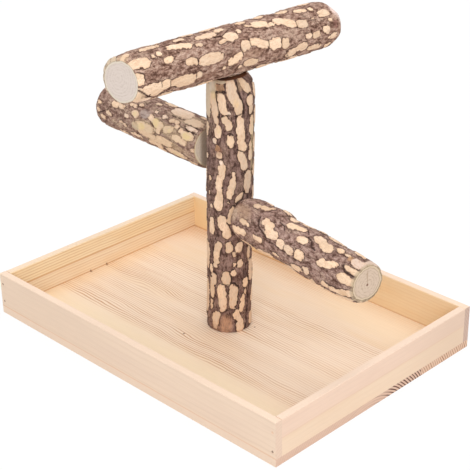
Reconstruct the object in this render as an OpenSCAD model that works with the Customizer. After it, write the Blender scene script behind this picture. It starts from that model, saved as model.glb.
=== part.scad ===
// Tabletop bird perch: a nailed wooden tray, a branch standing in it as a post, and three
// branch perches screwed to the post. Millimetres. The origin is the centre of the tray's
// underside, +X along the tray's long side, +Z up.

/* [Tray] */
// Outside length of the tray, along X
tray_length = 300; // [220:1:420]
// Outside width of the tray, along Y
tray_width = 212; // [170:1:320]
// Height of the rim above the table
tray_height = 35; // [28:1:60]
// Thickness of the four wall boards
wall_thickness = 6; // [5:0.5:10]
// Thickness of the base board
base_thickness = 6; // [5:0.5:10]
// Width of the base board's narrow stave, on the back side
narrow_stave_width = 57; // [30:1:65]
// Height of the short walls' lower strip
lower_strip_height = 14.5; // [12:0.5:17]
// Ease on the rim's edges
edge_ease = 0.5; // [0.2:0.1:0.8]

/* [Post] */
// Diameter of the post at its thickest
post_diameter = 35.4; // [32:0.2:45]
// Length of the post, from the base board to its sawn top
post_length = 203.4; // [185:1:260]
// Lean of the post from upright, in degrees
post_lean = 1.3; // [0:0.1:2]
// Direction in which the post leans, in degrees from +X
post_lean_way = 45; // [0:5:355]
// Height of the round worn on the bark at each end of the post
post_end_round = 3; // [1:0.5:5]
// Width that the worn shoulder takes off the post's top
shoulder_width = 5.5; // [3:0.5:7]
// Height of the worn shoulder on the post's side
shoulder_height = 11; // [8:1:20]
// Direction that the worn shoulder faces, in degrees from +X
shoulder_way = 45; // [0:5:90]

/* [Top perch] */
// Diameter of the top perch at its thickest
top_perch_diameter = 36.6; // [32:0.2:44]
// Length of the top perch from the post's axis to its front end
top_perch_front = 107; // [60:1:140]
// Length of the top perch from the post's axis to its back end
top_perch_back = 95; // [60:1:140]
// Direction of the top perch's back end, in degrees from +X
top_perch_way = 90; // [0:5:180]
// Dip of the top perch's back end below level, in degrees
top_perch_dip = 2; // [0:0.5:2]
// Turn of the front end's saw cut away from square, in degrees
top_perch_cut = 9.5; // [0:0.5:12]
// Depth of the flat seat cut into the top perch's underside
top_seat_depth = 0.3; // [0.3:0.1:1]

/* [Left perch] */
// Diameter of the left perch at its thickest
left_perch_diameter = 36.6; // [32:0.2:44]
// Length of the left perch from its seat on the post to its free end
left_perch_length = 124; // [70:1:150]
// Height of the left perch's axis above the table
left_perch_height = 147.4; // [140:0.2:150]
// Direction of the left perch, in degrees from +X
left_perch_way = 176; // [160:1:200]

/* [Right perch] */
// Diameter of the right perch at its thickest
right_perch_diameter = 34; // [30:0.2:42]
// Length of the right perch from its seat on the post to its free end
right_perch_length = 135; // [70:1:150]
// Height of the right perch's axis above the table
right_perch_height = 104.4; // [95:0.2:108]
// Direction of the right perch, in degrees from +X
right_perch_way = -8.5; // [-25:0.5:25]
// Gap between a side perch's sawn end and the post's bark
seat_gap = 0.3; // [0.2:0.05:0.5]

/* [Screws] */
// Crest diameter of the base screw's thread
base_screw_diameter = 5; // [4:0.5:6]
// Length of the base screw, from its head's face to its point
base_screw_length = 50; // [35:1:60]
// Diameter of the base screw's countersunk head
base_head_diameter = 9.6; // [8:0.2:11]
// Depth of the base screw's head below the tray's underside
head_sink = 0.4; // [0.2:0.1:0.6]
// Crest diameter of the double-ended dowel screws
dowel_screw_diameter = 6; // [5:0.5:7]
// Depth of a dowel screw in the post
dowel_post_depth = 22; // [16:0.5:26]
// Depth of a dowel screw in its perch
dowel_perch_depth = 26; // [16:0.5:27]
// Pitch of every screw's thread
thread_pitch = 2.5; // [2:0.1:3]
// Height of a thread's ridge above its core
thread_height = 0.9; // [0.6:0.1:1.2]
// Radial clearance of a screw in the wood
screw_clearance = 0.05; // [0.02:0.01:0.1]
// Depth of the pilot hole past a screw's point
point_room = 0.5; // [0.3:0.1:0.8]

/* [Brads] */
// Diameter of the brads' shanks
brad_diameter = 1.2; // [1:0.1:1.6]
// Diameter of the brads' heads
brad_head_diameter = 1.9; // [1.7:0.1:2.4]
// Thickness of the brads' heads
brad_head_thickness = 0.6; // [0.4:0.1:1]
// Depth of the brads' heads below the wood's surface
brad_sink = 0.2; // [0.1:0.1:0.4]
// Length of the brads at the corners
corner_brad_length = 20; // [16:1:24]
// Length of the brads in the base board
base_brad_length = 17; // [14:1:18]
// Number of brads along each long edge of the base board
long_edge_brad_count = 4; // [2:1:6]
// Number of brads along each short edge of the base board
short_edge_brad_count = 2; // [2:1:4]
// Radial clearance of a brad in the wood
brad_clearance = 0.03; // [0.02:0.01:0.05]

/* [Hidden] */
$fn = 64;

// How far a cutting shape runs past what it cuts
overrun = 2;

// Tray: places worked out from its outside sizes
half_length = tray_length / 2;
half_width = tray_width / 2;
wall_height = tray_height - base_thickness;
short_wall_length = tray_width - 2 * wall_thickness;
seam_y = half_width - narrow_stave_width;
upper_strip_height = wall_height - lower_strip_height;
seam_z = base_thickness + lower_strip_height;
wall_middle_x = half_length - wall_thickness / 2;
wall_middle_y = half_width - wall_thickness / 2;

// Brads: heights of the corner pair as shares of each strip, and runs along the base's edges
lower_brad_share = 0.35;
upper_brad_share = 0.4;
corner_brad_heights = [
    base_thickness + lower_strip_height * lower_brad_share,
    seam_z + upper_strip_height * upper_brad_share
];
long_run_share = 0.72;
short_run_share = 0.5;

// Branch outlines: thickness along the branch as shares of its greatest radius
post_swell_shares = [1, 0.99, 1, 0.985, 0.99, 1, 0.995, 1, 0.985, 0.98, 0.975];
top_swell_shares = [0.95, 0.965, 0.945, 0.97, 0.97, 1, 1, 1, 0.995, 0.98, 1, 0.98];
left_swell_shares = [0.97, 0.99, 0.99, 0.985, 0.985, 0.985, 1, 0.995, 0.98];
right_swell_shares = [0.975, 1, 1, 0.935, 0.93, 0.985, 0.97, 0.97, 0.95, 0.885];
// Thickness at the sawn ends, as shares of each branch's greatest radius
post_end_share = 0.91;
top_end_share = 0.875;
left_seat_share = 0.95;
left_end_share = 0.88;
right_seat_share = 0.77;
right_end_share = 0.83;
// Lengths over which the bark draws in at each end; the right perch is whittled at the post
top_end_round = 4;
left_seat_round = 2;
left_end_round = 5;
whittle_length = 12;
right_end_round = 5;

// Post: its foot stands on the base board, its top is sawn level
post_radius = post_diameter / 2;
post_top_z = base_thickness + post_length;

left_radius = left_perch_diameter / 2;
right_radius = right_perch_diameter / 2;

// Top perch: its axis lies above the post's top by its radius at the screw, less the seat
top_radius = top_perch_diameter / 2;
top_screw_share = 1;
top_axis_z = post_top_z + top_radius * top_screw_share - top_seat_depth;
seat_cut_radius = post_radius + overrun / 2;

// Screws: cores, points and the pilot holes around them
base_crest = base_screw_diameter / 2;
base_core = base_crest - thread_height;
base_head = base_head_diameter / 2;
base_head_height = base_head - base_crest;
dowel_crest = dowel_screw_diameter / 2;
dowel_core = dowel_crest - thread_height;
point_share = 0.15;
recess_depth_share = 0.8;
recess_width_share = 0.13;
recess_length_share = 0.55;
recess_depth = base_head_height * recess_depth_share;
recess_width = base_head_diameter * recess_width_share;
recess_length = base_head_diameter * recess_length_share;
dowel_collar_length = 3;

bark_colour = [0.60, 0.47, 0.40];
pine_colour = [0.93, 0.82, 0.70];
floor_colour = [0.94, 0.82, 0.71];
pinkish_pine_colour = [0.93, 0.79, 0.69];
honey_pine_colour = [0.92, 0.77, 0.62];
steel_colour = [0.75, 0.76, 0.78];
brad_colour = [0.45, 0.43, 0.42];

// Distance from the post's axis to a side perch's flat end, clear of the leaning bark
function seat_distance(radius, way) =
    post_radius / cos(post_lean) + seat_gap + radius * tan(post_lean) * abs(cos(way - post_lean_way));

// A place on the post's leaning axis, at height z above the table
function on_post(z) =
    [cos(post_lean_way), sin(post_lean_way), 0] * (z - base_thickness) * tan(post_lean) + [0, 0, z];

// Places spread evenly over a run that is centred on zero
function spread(run, count) = [for (i = [0:count - 1]) run * (i / (count - 1) - 1 / 2)];

// Half outline of a branch that stands on zero: drawn-in ends, swelling sides
function branch_outline(length, radius, shares, start_round, end_round, start_share, end_share) =
    let (last = len(shares) - 1, run = length - start_round - end_round)
    [
        [0, 0],
        [radius * start_share, 0],
        each [for (i = [0:last]) [radius * shares[i], start_round + run * i / last]],
        [radius * end_share, length],
        [0, length]
    ];

// Half outline of a screw's threaded part, point at the far end, as ring ridges on a core
function thread_outline(length, core, crest, grow, room) =
    let (point = core * 2, turns = floor((length - point) / thread_pitch), top = turns * thread_pitch)
    [
        each [for (i = [0:turns - 1]) each [
            [core + grow, i * thread_pitch],
            [crest + grow, (i + 1 / 2) * thread_pitch]
        ]],
        [core + grow, top],
        [core + grow, length - point],
        [core * point_share + grow, length + room],
        [0, length + room]
    ];

// A board along X, its two upper edges eased
module rim_board(size) {
    outline = [
        [0, 0], [size[1], 0],
        [size[1], size[2] - edge_ease], [size[1] - edge_ease, size[2]],
        [edge_ease, size[2]], [0, size[2] - edge_ease]
    ];
    rotate([90, 0, 90]) linear_extrude(size[0]) polygon(outline);
}

// One brad along +Z, its head's face at the sink below zero
module brad(length, grow) {
    translate([0, 0, brad_sink]) {
        cylinder(r = brad_head_diameter / 2 + grow, h = brad_head_thickness + grow);
        cylinder(r = brad_diameter / 2 + grow, h = length + grow);
    }
}

// The hole that one brad leaves, open at the wood's surface
module brad_hole(length) {
    brad(length, brad_clearance);
    translate([0, 0, -overrun])
        cylinder(r = brad_head_diameter / 2 + brad_clearance, h = overrun + brad_sink + brad_clearance);
}

// Puts what it is given at each corner brad, pointing from the long wall into the short wall
module at_corner_brads() {
    for (side = [-1, 1], end = [-1, 1], z = corner_brad_heights)
        translate([end * wall_middle_x, side * half_width, z])
            rotate([side * 90, 0, 0]) children();
}

// Puts what it is given at each base brad, pointing up
module at_base_brads() {
    for (side = [-1, 1]) {
        for (x = spread(tray_length * long_run_share, long_edge_brad_count))
            translate([x, side * wall_middle_y, 0]) children();
        for (y = spread(tray_width * short_run_share, short_edge_brad_count))
            translate([side * wall_middle_x, y, 0]) children();
    }
}

module wall_holes() {
    at_corner_brads() brad_hole(corner_brad_length);
    at_base_brads() brad_hole(base_brad_length);
}

// The base screw along +Z, its head's face at the sink, grown by a clearance for its hole
module base_screw_shape(grow, room) {
    shank = base_thickness - head_sink - base_head_height;
    threaded = base_screw_length - base_head_height - shank;
    translate([0, 0, head_sink]) {
        cylinder(r1 = base_head + grow, r2 = base_crest + grow, h = base_head_height);
        translate([0, 0, base_head_height]) cylinder(r = base_crest + grow, h = shank);
    }
    translate([0, 0, base_thickness])
        rotate_extrude() polygon([[0, 0], each thread_outline(threaded, base_core, base_crest, grow, room)]);
}

// A dowel screw along +Z: a plain collar round zero, a thread each way
module dowel_screw_shape(grow, room) {
    half_collar = dowel_collar_length / 2;
    in_perch = thread_outline(dowel_perch_depth - half_collar, dowel_core, dowel_crest, grow, room);
    in_post = thread_outline(dowel_post_depth - half_collar, dowel_core, dowel_crest, grow, room);
    cylinder(r = dowel_core + grow, h = dowel_collar_length, center = true);
    translate([0, 0, half_collar]) rotate_extrude() polygon([[0, 0], each in_perch]);
    mirror([0, 0, 1]) translate([0, 0, half_collar]) rotate_extrude() polygon([[0, 0], each in_post]);
}

// Puts what it is given on the post's top, at the screw
module at_top_screw() {
    translate(on_post(post_top_z)) children();
}

// Puts what it is given on the post's axis at a height, with +Z turned outwards along a perch
module along_perch(height, way) {
    translate(on_post(height)) rotate([0, 90, way]) children();
}

module at_left_seat() {
    along_perch(left_perch_height, left_perch_way)
        translate([0, 0, seat_distance(left_radius, left_perch_way)]) children();
}

module at_right_seat() {
    along_perch(right_perch_height, right_perch_way)
        translate([0, 0, seat_distance(right_radius, right_perch_way)]) children();
}

module base_board(width, corner_y) {
    color(floor_colour) difference() {
        translate([-half_length, corner_y, 0]) cube([tray_length, width, base_thickness]);
        wall_holes();
        base_screw_shape(screw_clearance, point_room);
        translate([0, 0, -overrun])
            cylinder(r = base_head + screw_clearance, h = overrun + head_sink);
    }
}

module base_wide_stave() {
    base_board(tray_width - narrow_stave_width, -half_width);
}

module base_narrow_stave() {
    base_board(narrow_stave_width, seam_y);
}

module long_wall(corner_y, tone) {
    color(tone) difference() {
        translate([-half_length, corner_y, base_thickness])
            rim_board([tray_length, wall_thickness, wall_height]);
        wall_holes();
    }
}

module front_long_wall() {
    long_wall(-half_width, pine_colour);
}

module back_long_wall() {
    long_wall(half_width - wall_thickness, honey_pine_colour);
}

// The lower strip of a short wall, between the long walls
module lower_strip(corner_x, tone) {
    color(tone) difference() {
        translate([corner_x, -short_wall_length / 2, base_thickness])
            cube([wall_thickness, short_wall_length, lower_strip_height]);
        wall_holes();
    }
}

// The upper strip, glued on the lower one, with the rim's eased edges
module upper_strip(corner_x, tone) {
    color(tone) difference() {
        translate([corner_x + wall_thickness, -short_wall_length / 2, seam_z])
            rotate([0, 0, 90]) rim_board([short_wall_length, wall_thickness, upper_strip_height]);
        wall_holes();
    }
}

module left_wall_lower_strip() {
    lower_strip(-half_length, pine_colour);
}

module left_wall_upper_strip() {
    upper_strip(-half_length, honey_pine_colour);
}

module right_wall_lower_strip() {
    lower_strip(half_length - wall_thickness, pine_colour);
}

module right_wall_upper_strip() {
    upper_strip(half_length - wall_thickness, pinkish_pine_colour);
}

module corner_brads() {
    color(brad_colour) at_corner_brads() brad(corner_brad_length, 0);
}

module base_brads() {
    color(brad_colour) at_base_brads() brad(base_brad_length, 0);
}

// What the worn shoulder takes off one side of the post's top
module worn_shoulder() {
    at_top_screw() rotate([0, 0, shoulder_way]) translate([post_radius - shoulder_width, 0, 0])
        rotate([0, -atan(shoulder_width / shoulder_height), 0])
            translate([0, -post_diameter, -post_diameter])
                cube([post_diameter, 2 * post_diameter, 2 * post_diameter]);
}

// The upright branch: leans a little, sawn level at both ends, bored for its four screws
module post() {
    outline = branch_outline(
        post_length + 2 * overrun, post_radius, post_swell_shares,
        post_end_round + overrun, post_end_round + overrun, post_end_share, post_end_share);
    color(bark_colour) difference() {
        translate([0, 0, base_thickness]) rotate([0, post_lean, post_lean_way])
            translate([0, 0, -overrun]) rotate_extrude() polygon(outline);
        translate([-post_diameter, -post_diameter, base_thickness - post_diameter])
            cube([2 * post_diameter, 2 * post_diameter, post_diameter]);
        translate([-post_diameter, -post_diameter, post_top_z])
            cube([2 * post_diameter, 2 * post_diameter, post_diameter]);
        worn_shoulder();
        base_screw_shape(screw_clearance, point_room);
        at_top_screw() dowel_screw_shape(screw_clearance, point_room);
        at_left_seat() dowel_screw_shape(screw_clearance, point_room);
        at_right_seat() dowel_screw_shape(screw_clearance, point_room);
    }
}

// The branch across the top: a level flat seats it on the post, its front end is cut aslant
module top_perch() {
    outline = branch_outline(
        top_perch_front + top_perch_back, top_radius, top_swell_shares,
        top_end_round, top_end_round, top_end_share, top_end_share);
    cut_side = 2 * top_perch_diameter;
    color(bark_colour) difference() {
        translate([on_post(post_top_z)[0], on_post(post_top_z)[1], top_axis_z])
            rotate([0, 90 + top_perch_dip, top_perch_way])
                difference() {
                    translate([0, 0, -top_perch_front]) rotate_extrude() polygon(outline);
                    translate([0, top_radius, -top_perch_front]) rotate([-top_perch_cut, 0, 0])
                        translate([-cut_side / 2, -cut_side, -cut_side])
                            cube([cut_side, cut_side + overrun, cut_side]);
                }
        at_top_screw() translate([0, 0, -top_radius]) cylinder(r = seat_cut_radius, h = top_radius);
        at_top_screw() dowel_screw_shape(screw_clearance, point_room);
    }
}

module left_perch() {
    outline = branch_outline(
        left_perch_length, left_radius, left_swell_shares,
        left_seat_round, left_end_round, left_seat_share, left_end_share);
    color(bark_colour) at_left_seat() difference() {
        rotate_extrude() polygon(outline);
        dowel_screw_shape(screw_clearance, point_room);
    }
}

module right_perch() {
    outline = branch_outline(
        right_perch_length, right_radius, right_swell_shares,
        whittle_length, right_end_round, right_seat_share, right_end_share);
    color(bark_colour) at_right_seat() difference() {
        rotate_extrude() polygon(outline);
        dowel_screw_shape(screw_clearance, point_room);
    }
}

// Countersunk screw with a cross recess in its head
module base_screw() {
    color(steel_colour) difference() {
        base_screw_shape(0, 0);
        for (turn = [0, 90]) rotate([0, 0, turn])
            translate([-recess_length / 2, -recess_width / 2, head_sink - overrun])
                cube([recess_length, recess_width, recess_depth + overrun]);
    }
}

module top_dowel_screw() {
    color(steel_colour) at_top_screw() dowel_screw_shape(0, 0);
}

module left_dowel_screw() {
    color(steel_colour) at_left_seat() dowel_screw_shape(0, 0);
}

module right_dowel_screw() {
    color(steel_colour) at_right_seat() dowel_screw_shape(0, 0);
}

base_wide_stave();
base_narrow_stave();
front_long_wall();
back_long_wall();
left_wall_lower_strip();
left_wall_upper_strip();
right_wall_lower_strip();
right_wall_upper_strip();
corner_brads();
base_brads();
post();
top_perch();
left_perch();
right_perch();
base_screw();
top_dowel_screw();
left_dowel_screw();
right_dowel_screw();
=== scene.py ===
"""Looks of a tabletop bird perch: bark-covered branches standing in a nailed softwood tray.

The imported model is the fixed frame. Lengths in the classes below are millimetres in that frame, with
the origin at the centre of the tray's underside, +X along its long side and +Z up.
"""

import logging
import math
from dataclasses import dataclass
from enum import Enum

import bmesh
import bpy
import numpy as np
from mathutils import Matrix, Vector


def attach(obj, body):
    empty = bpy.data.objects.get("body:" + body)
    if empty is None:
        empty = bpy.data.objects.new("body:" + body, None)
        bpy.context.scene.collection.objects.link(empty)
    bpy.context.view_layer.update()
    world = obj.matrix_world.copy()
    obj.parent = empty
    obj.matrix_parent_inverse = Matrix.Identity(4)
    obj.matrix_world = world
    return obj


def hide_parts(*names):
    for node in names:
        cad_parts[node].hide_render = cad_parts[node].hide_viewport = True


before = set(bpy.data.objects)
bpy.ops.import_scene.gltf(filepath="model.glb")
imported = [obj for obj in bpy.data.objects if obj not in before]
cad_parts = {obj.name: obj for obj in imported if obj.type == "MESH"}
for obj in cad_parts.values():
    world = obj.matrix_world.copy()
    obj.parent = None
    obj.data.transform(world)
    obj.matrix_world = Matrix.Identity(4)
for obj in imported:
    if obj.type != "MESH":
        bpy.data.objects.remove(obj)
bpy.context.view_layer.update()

MM = 0.001
PLACE = "branch_place"
EDGE = "island_edge"
TINT = "island_tint"
CRACK = "crack"
RIM = "from_rim"
STAIN = "stain"
WOOD_SPECULAR = 0.25
# Shares of a face's normal along an axis, between which the face takes on that side's look.
FACING = (0.6, 0.85)
# Distance to an island's edge in millimetres: what a place without one gets, and where the value is cut off.
FAR_OUTSIDE = -9.0
EDGE_REACH = 3.0
# How an island's tone is varied: least and most brightness, and what a warm one loses of red, green and blue.
BRIGHTNESS = (0.93, 1.03)
WARMTH = (1, 4, 9)

Colour = tuple[float, float, float, float]
Tone8 = tuple[int, int, int]
Socket = bpy.types.NodeSocket

logging.basicConfig(level=logging.INFO, format="%(message)s")
log = logging.getLogger("bird_perch")


def srgb(tone: Tone8) -> Colour:
    """Returns the linear colour of a display colour.

    Args:
        tone: Red, green and blue from 0 to 255.

    Returns:
        Linear red, green, blue and an opaque alpha.
    """
    shares = [part / 255 for part in tone]
    linear = [s / 12.92 if s <= 0.04045 else ((s + 0.055) / 1.055) ** 2.4 for s in shares]
    return (linear[0], linear[1], linear[2], 1.0)


def grey_tone(share: float) -> Tone8:
    """Returns the display grey whose linear value is share, or black for a share near 0."""
    grey = round(255 * (1.055 * share ** (1 / 2.4) - 0.055 if share > 0.0031 else 0.0))
    return (grey, grey, grey)


def smooth_step(value: np.ndarray, low: float, high: float) -> np.ndarray:
    """Returns a smooth rise from 0 at low to 1 at high.

    Args:
        value: Where to read the rise.
        low: Value at which it leaves 0.
        high: Value at which it reaches 1.

    Returns:
        The rise at each value.
    """
    share = np.clip((value - low) / (high - low), 0.0, 1.0)
    return share * share * (3.0 - 2.0 * share)


def degrees_from(way: np.ndarray | float, middle: float) -> np.ndarray | float:
    """Returns how far each direction round a branch is from a middle one, from -180 to 180 degrees."""
    return (way - middle + 180.0) % 360.0 - 180.0


def deselect_all() -> None:
    """Leaves nothing selected, so that the next operator acts on its own piece alone."""
    bpy.ops.object.select_all(action="DESELECT")


class Grain(Enum):
    """Which way a board's grain runs: the turn about +Z, in degrees, that lays it along +X."""

    ALONG_X = 0.0
    ALONG_Y = -90.0


class Bare(Enum):
    """Tone of a smooth place where a branch's bark is worn or planed through."""

    TAN = (250, 219, 190)
    PALE = (252, 226, 206)
    GREIGE = (214, 194, 168)
    BROWN = (168, 128, 98)
    ROSE = (234, 206, 188)


class Nodes:
    """Adds and links shader nodes in one node tree."""

    def __init__(self, tree: bpy.types.NodeTree) -> None:
        """Takes the tree that the nodes go into."""
        self.tree = tree

    def add(self, kind: str, **settings: object) -> bpy.types.Node:
        """Adds a node.

        Args:
            kind: The node's type name.
            settings: Values of the node's own settings.

        Returns:
            The new node.
        """
        node = self.tree.nodes.new(kind)
        for key, value in settings.items():
            setattr(node, key, value)
        return node

    def feed(self, socket: Socket, value: object) -> None:
        """Links a socket to an input, or sets a plain value on it.

        Args:
            socket: The input.
            value: A socket to link, or the value to set.
        """
        if isinstance(value, bpy.types.NodeSocket):
            self.tree.links.new(value, socket)
        else:
            socket.default_value = value

    def calc(self, operation: str, *values: object, clamp: bool = False) -> Socket:
        """Adds a math node.

        Args:
            operation: The node's operation.
            values: Sockets or numbers for its inputs.
            clamp: Whether the result is kept from 0 to 1.

        Returns:
            The result's socket.
        """
        node = self.add("ShaderNodeMath", operation=operation, use_clamp=clamp)
        for socket, value in zip(node.inputs, values):
            self.feed(socket, value)
        return node.outputs[0]

    def seen(self) -> Socket:
        """Returns 1 for the camera's rays, and for those it sends on by a mirror or through glass."""
        path = self.add("ShaderNodeLightPath").outputs
        seen = self.calc("ADD", path["Is Camera Ray"], path["Is Glossy Ray"], clamp=True)
        return self.calc("ADD", seen, path["Is Transmission Ray"], clamp=True)


class NodeSketch(Nodes):
    """Adds and links the shader nodes of one material."""

    def __init__(self, name: str) -> None:
        """Starts a material with its principled shader.

        Args:
            name: The material's name.
        """
        self.material = bpy.data.materials.new(name)
        self.material.use_nodes = True
        super().__init__(self.material.node_tree)
        self.shader = self.tree.nodes["Principled BSDF"]

    def step(self, value: Socket, low: float, high: float, start: float = 0.0, end: float = 1.0) -> Socket:
        """Adds a smooth rise.

        Args:
            value: What is read.
            low: Value at which the rise starts.
            high: Value at which it ends.
            start: Result below low.
            end: Result above high.

        Returns:
            The result's socket.
        """
        node = self.add("ShaderNodeMapRange", interpolation_type="SMOOTHSTEP")
        for socket, part in zip(node.inputs, (value, low, high, start, end)):
            self.feed(socket, part)
        return node.outputs[0]

    def mix(self, share: object, low: object, high: object, blend: str = "MIX") -> Socket:
        """Adds a colour mix.

        Args:
            share: How much of high is taken.
            low: Colour or socket at share 0.
            high: Colour or socket at share 1.
            blend: The mix's blend type.

        Returns:
            The mixed colour's socket.
        """
        node = self.add("ShaderNodeMix", data_type="RGBA", blend_type=blend)
        self.feed(node.inputs[0], share)
        self.feed(node.inputs[6], low)
        self.feed(node.inputs[7], high)
        return node.outputs[2]

    def stretch(
        self,
        place: Socket,
        scale: tuple[float, float, float],
        turn: float = 0.0,
        move: tuple[float, float, float] = (0.0, 0.0, 0.0),
    ) -> Socket:
        """Adds a mapping that scales, turns about +Z and moves a place.

        Args:
            place: The place's socket.
            scale: Scale along each axis.
            turn: Turn about +Z in degrees.
            move: Shift after the scale and turn.

        Returns:
            The mapped place's socket.
        """
        node = self.add("ShaderNodeMapping")
        self.feed(node.inputs["Vector"], place)
        node.inputs["Scale"].default_value = scale
        node.inputs["Rotation"].default_value = (0.0, 0.0, math.radians(turn))
        node.inputs["Location"].default_value = move
        return node.outputs[0]

    def noise(self, place: Socket, scale: float, detail: float = 2.0, roughness: float = 0.5) -> Socket:
        """Adds a noise.

        Args:
            place: Where it is read.
            scale: Its fineness.
            detail: Its octaves.
            roughness: Strength of the finer octaves.

        Returns:
            The noise's value from 0 to 1.
        """
        node = self.add("ShaderNodeTexNoise")
        self.feed(node.inputs["Vector"], place)
        node.inputs["Scale"].default_value = scale
        node.inputs["Detail"].default_value = detail
        node.inputs["Roughness"].default_value = roughness
        return node.outputs["Fac"]

    def ramp(self, share: Socket, stops: tuple[tuple[float, Tone8], ...]) -> Socket:
        """Adds a colour ramp.

        Args:
            share: Where the ramp is read, from 0 to 1.
            stops: Places and display colours, in order.

        Returns:
            The colour's socket.
        """
        node = self.add("ShaderNodeValToRGB")
        elements = node.color_ramp.elements
        while len(elements) < len(stops):
            elements.new(0.5)
        for element, (place, tone) in zip(elements, stops):
            element.position = place
            element.color = srgb(tone)
        self.feed(node.inputs[0], share)
        return node.outputs[0]

    def grey(self, value: Socket) -> Socket:
        """Makes a grey for a multiply mix.

        Args:
            value: The grey's value.

        Returns:
            The grey's socket.
        """
        node = self.add("ShaderNodeCombineXYZ")
        for socket in node.inputs:
            self.feed(socket, value)
        return node.outputs[0]

    def near(self, value: Socket, middle: float, half: float, share: float = 1.0) -> Socket:
        """Returns share where value is at middle, falling smoothly to 0 at half away from it."""
        away = self.calc("ABSOLUTE", self.calc("SUBTRACT", value, middle))
        return self.step(away, 0.25 * half, half, share, 0.0)

    def centred(self, value: Socket, reach: float) -> Socket:
        """Spreads a value that runs from 0 to 1 over minus reach to reach."""
        return self.calc("MULTIPLY_ADD", value, 2.0 * reach, -reach)

    def streaks(
        self,
        place: Socket,
        scale: tuple[float, float, float],
        detail: float = 2.0,
        roughness: float = 0.5,
        move: tuple[float, float, float] = (0.0, 0.0, 0.0),
    ) -> Socket:
        """Adds a noise with its own fineness along each axis."""
        return self.noise(self.stretch(place, scale, move=move), 1.0, detail, roughness)

    def parts(self, value: Socket) -> list[Socket]:
        """Splits a place or a direction.

        Args:
            value: The place or direction.

        Returns:
            The sockets of its X, Y and Z.
        """
        node = self.add("ShaderNodeSeparateXYZ")
        self.feed(node.inputs[0], value)
        return list(node.outputs)

    def distance(self, place: Socket, point: tuple[float, float, float]) -> Socket:
        """Measures from a point.

        Args:
            place: The place's socket, in metres.
            point: The point in millimetres.

        Returns:
            Each place's distance from the point in metres.
        """
        node = self.add("ShaderNodeVectorMath", operation="DISTANCE")
        self.feed(node.inputs[0], place)
        node.inputs[1].default_value = tuple(part * MM for part in point)
        return node.outputs["Value"]

    def attribute(self, name: str) -> bpy.types.Node:
        """Adds a node that reads one of the piece's own attributes."""
        return self.add("ShaderNodeAttribute", attribute_name=name)

    def dull(self) -> None:
        """Gives the shader the weak mirror light of bare wood."""
        self.shader.inputs["Specular IOR Level"].default_value = WOOD_SPECULAR

    def finish(self, colour: Socket, roughness: object, height: Socket, depth: float) -> bpy.types.Material:
        """Feeds the shader.

        Args:
            colour: The base colour.
            roughness: A socket or a number.
            height: Height of the surface's fine relief, from 0 to 1.
            depth: What a height of 1 stands for, in metres.

        Returns:
            The finished material.
        """
        bump = self.add("ShaderNodeBump")
        bump.inputs["Strength"].default_value = 1.0
        bump.inputs["Distance"].default_value = depth
        self.feed(bump.inputs["Height"], height)
        self.feed(self.shader.inputs["Base Color"], colour)
        self.feed(self.shader.inputs["Roughness"], roughness)
        self.feed(self.shader.inputs["Normal"], bump.outputs["Normal"])
        return self.material


@dataclass(frozen=True)
class Speck:
    """A tiny dark knot or pit in a board, at a place in millimetres."""

    place: tuple[float, float, float]
    size: float


@dataclass(frozen=True)
class Swerve:
    """A place where a board's grain lines bow aside: (along, across), its reach and how far they move."""

    place: tuple[float, float]
    reach: tuple[float, float]
    shift: float


@dataclass(frozen=True)
class Patch:
    """A soft-edged tone on a board: its middle (along, across), its reach both ways, tone and share."""

    place: tuple[float, float]
    reach: tuple[float, float]
    tone: Tone8
    share: float = 0.8


@dataclass(frozen=True)
class Rings:
    """Growth rings seen on one kind of face: their centre (across, up), spacing, strength and wander.

    Bands give the strength at places across the board; swerves bow the lines aside.
    """

    pith: tuple[float, float]
    spacing: float
    strength: float
    wander: float
    bands: tuple[tuple[float, float], ...] = ()
    swerves: tuple[Swerve, ...] = ()


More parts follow.
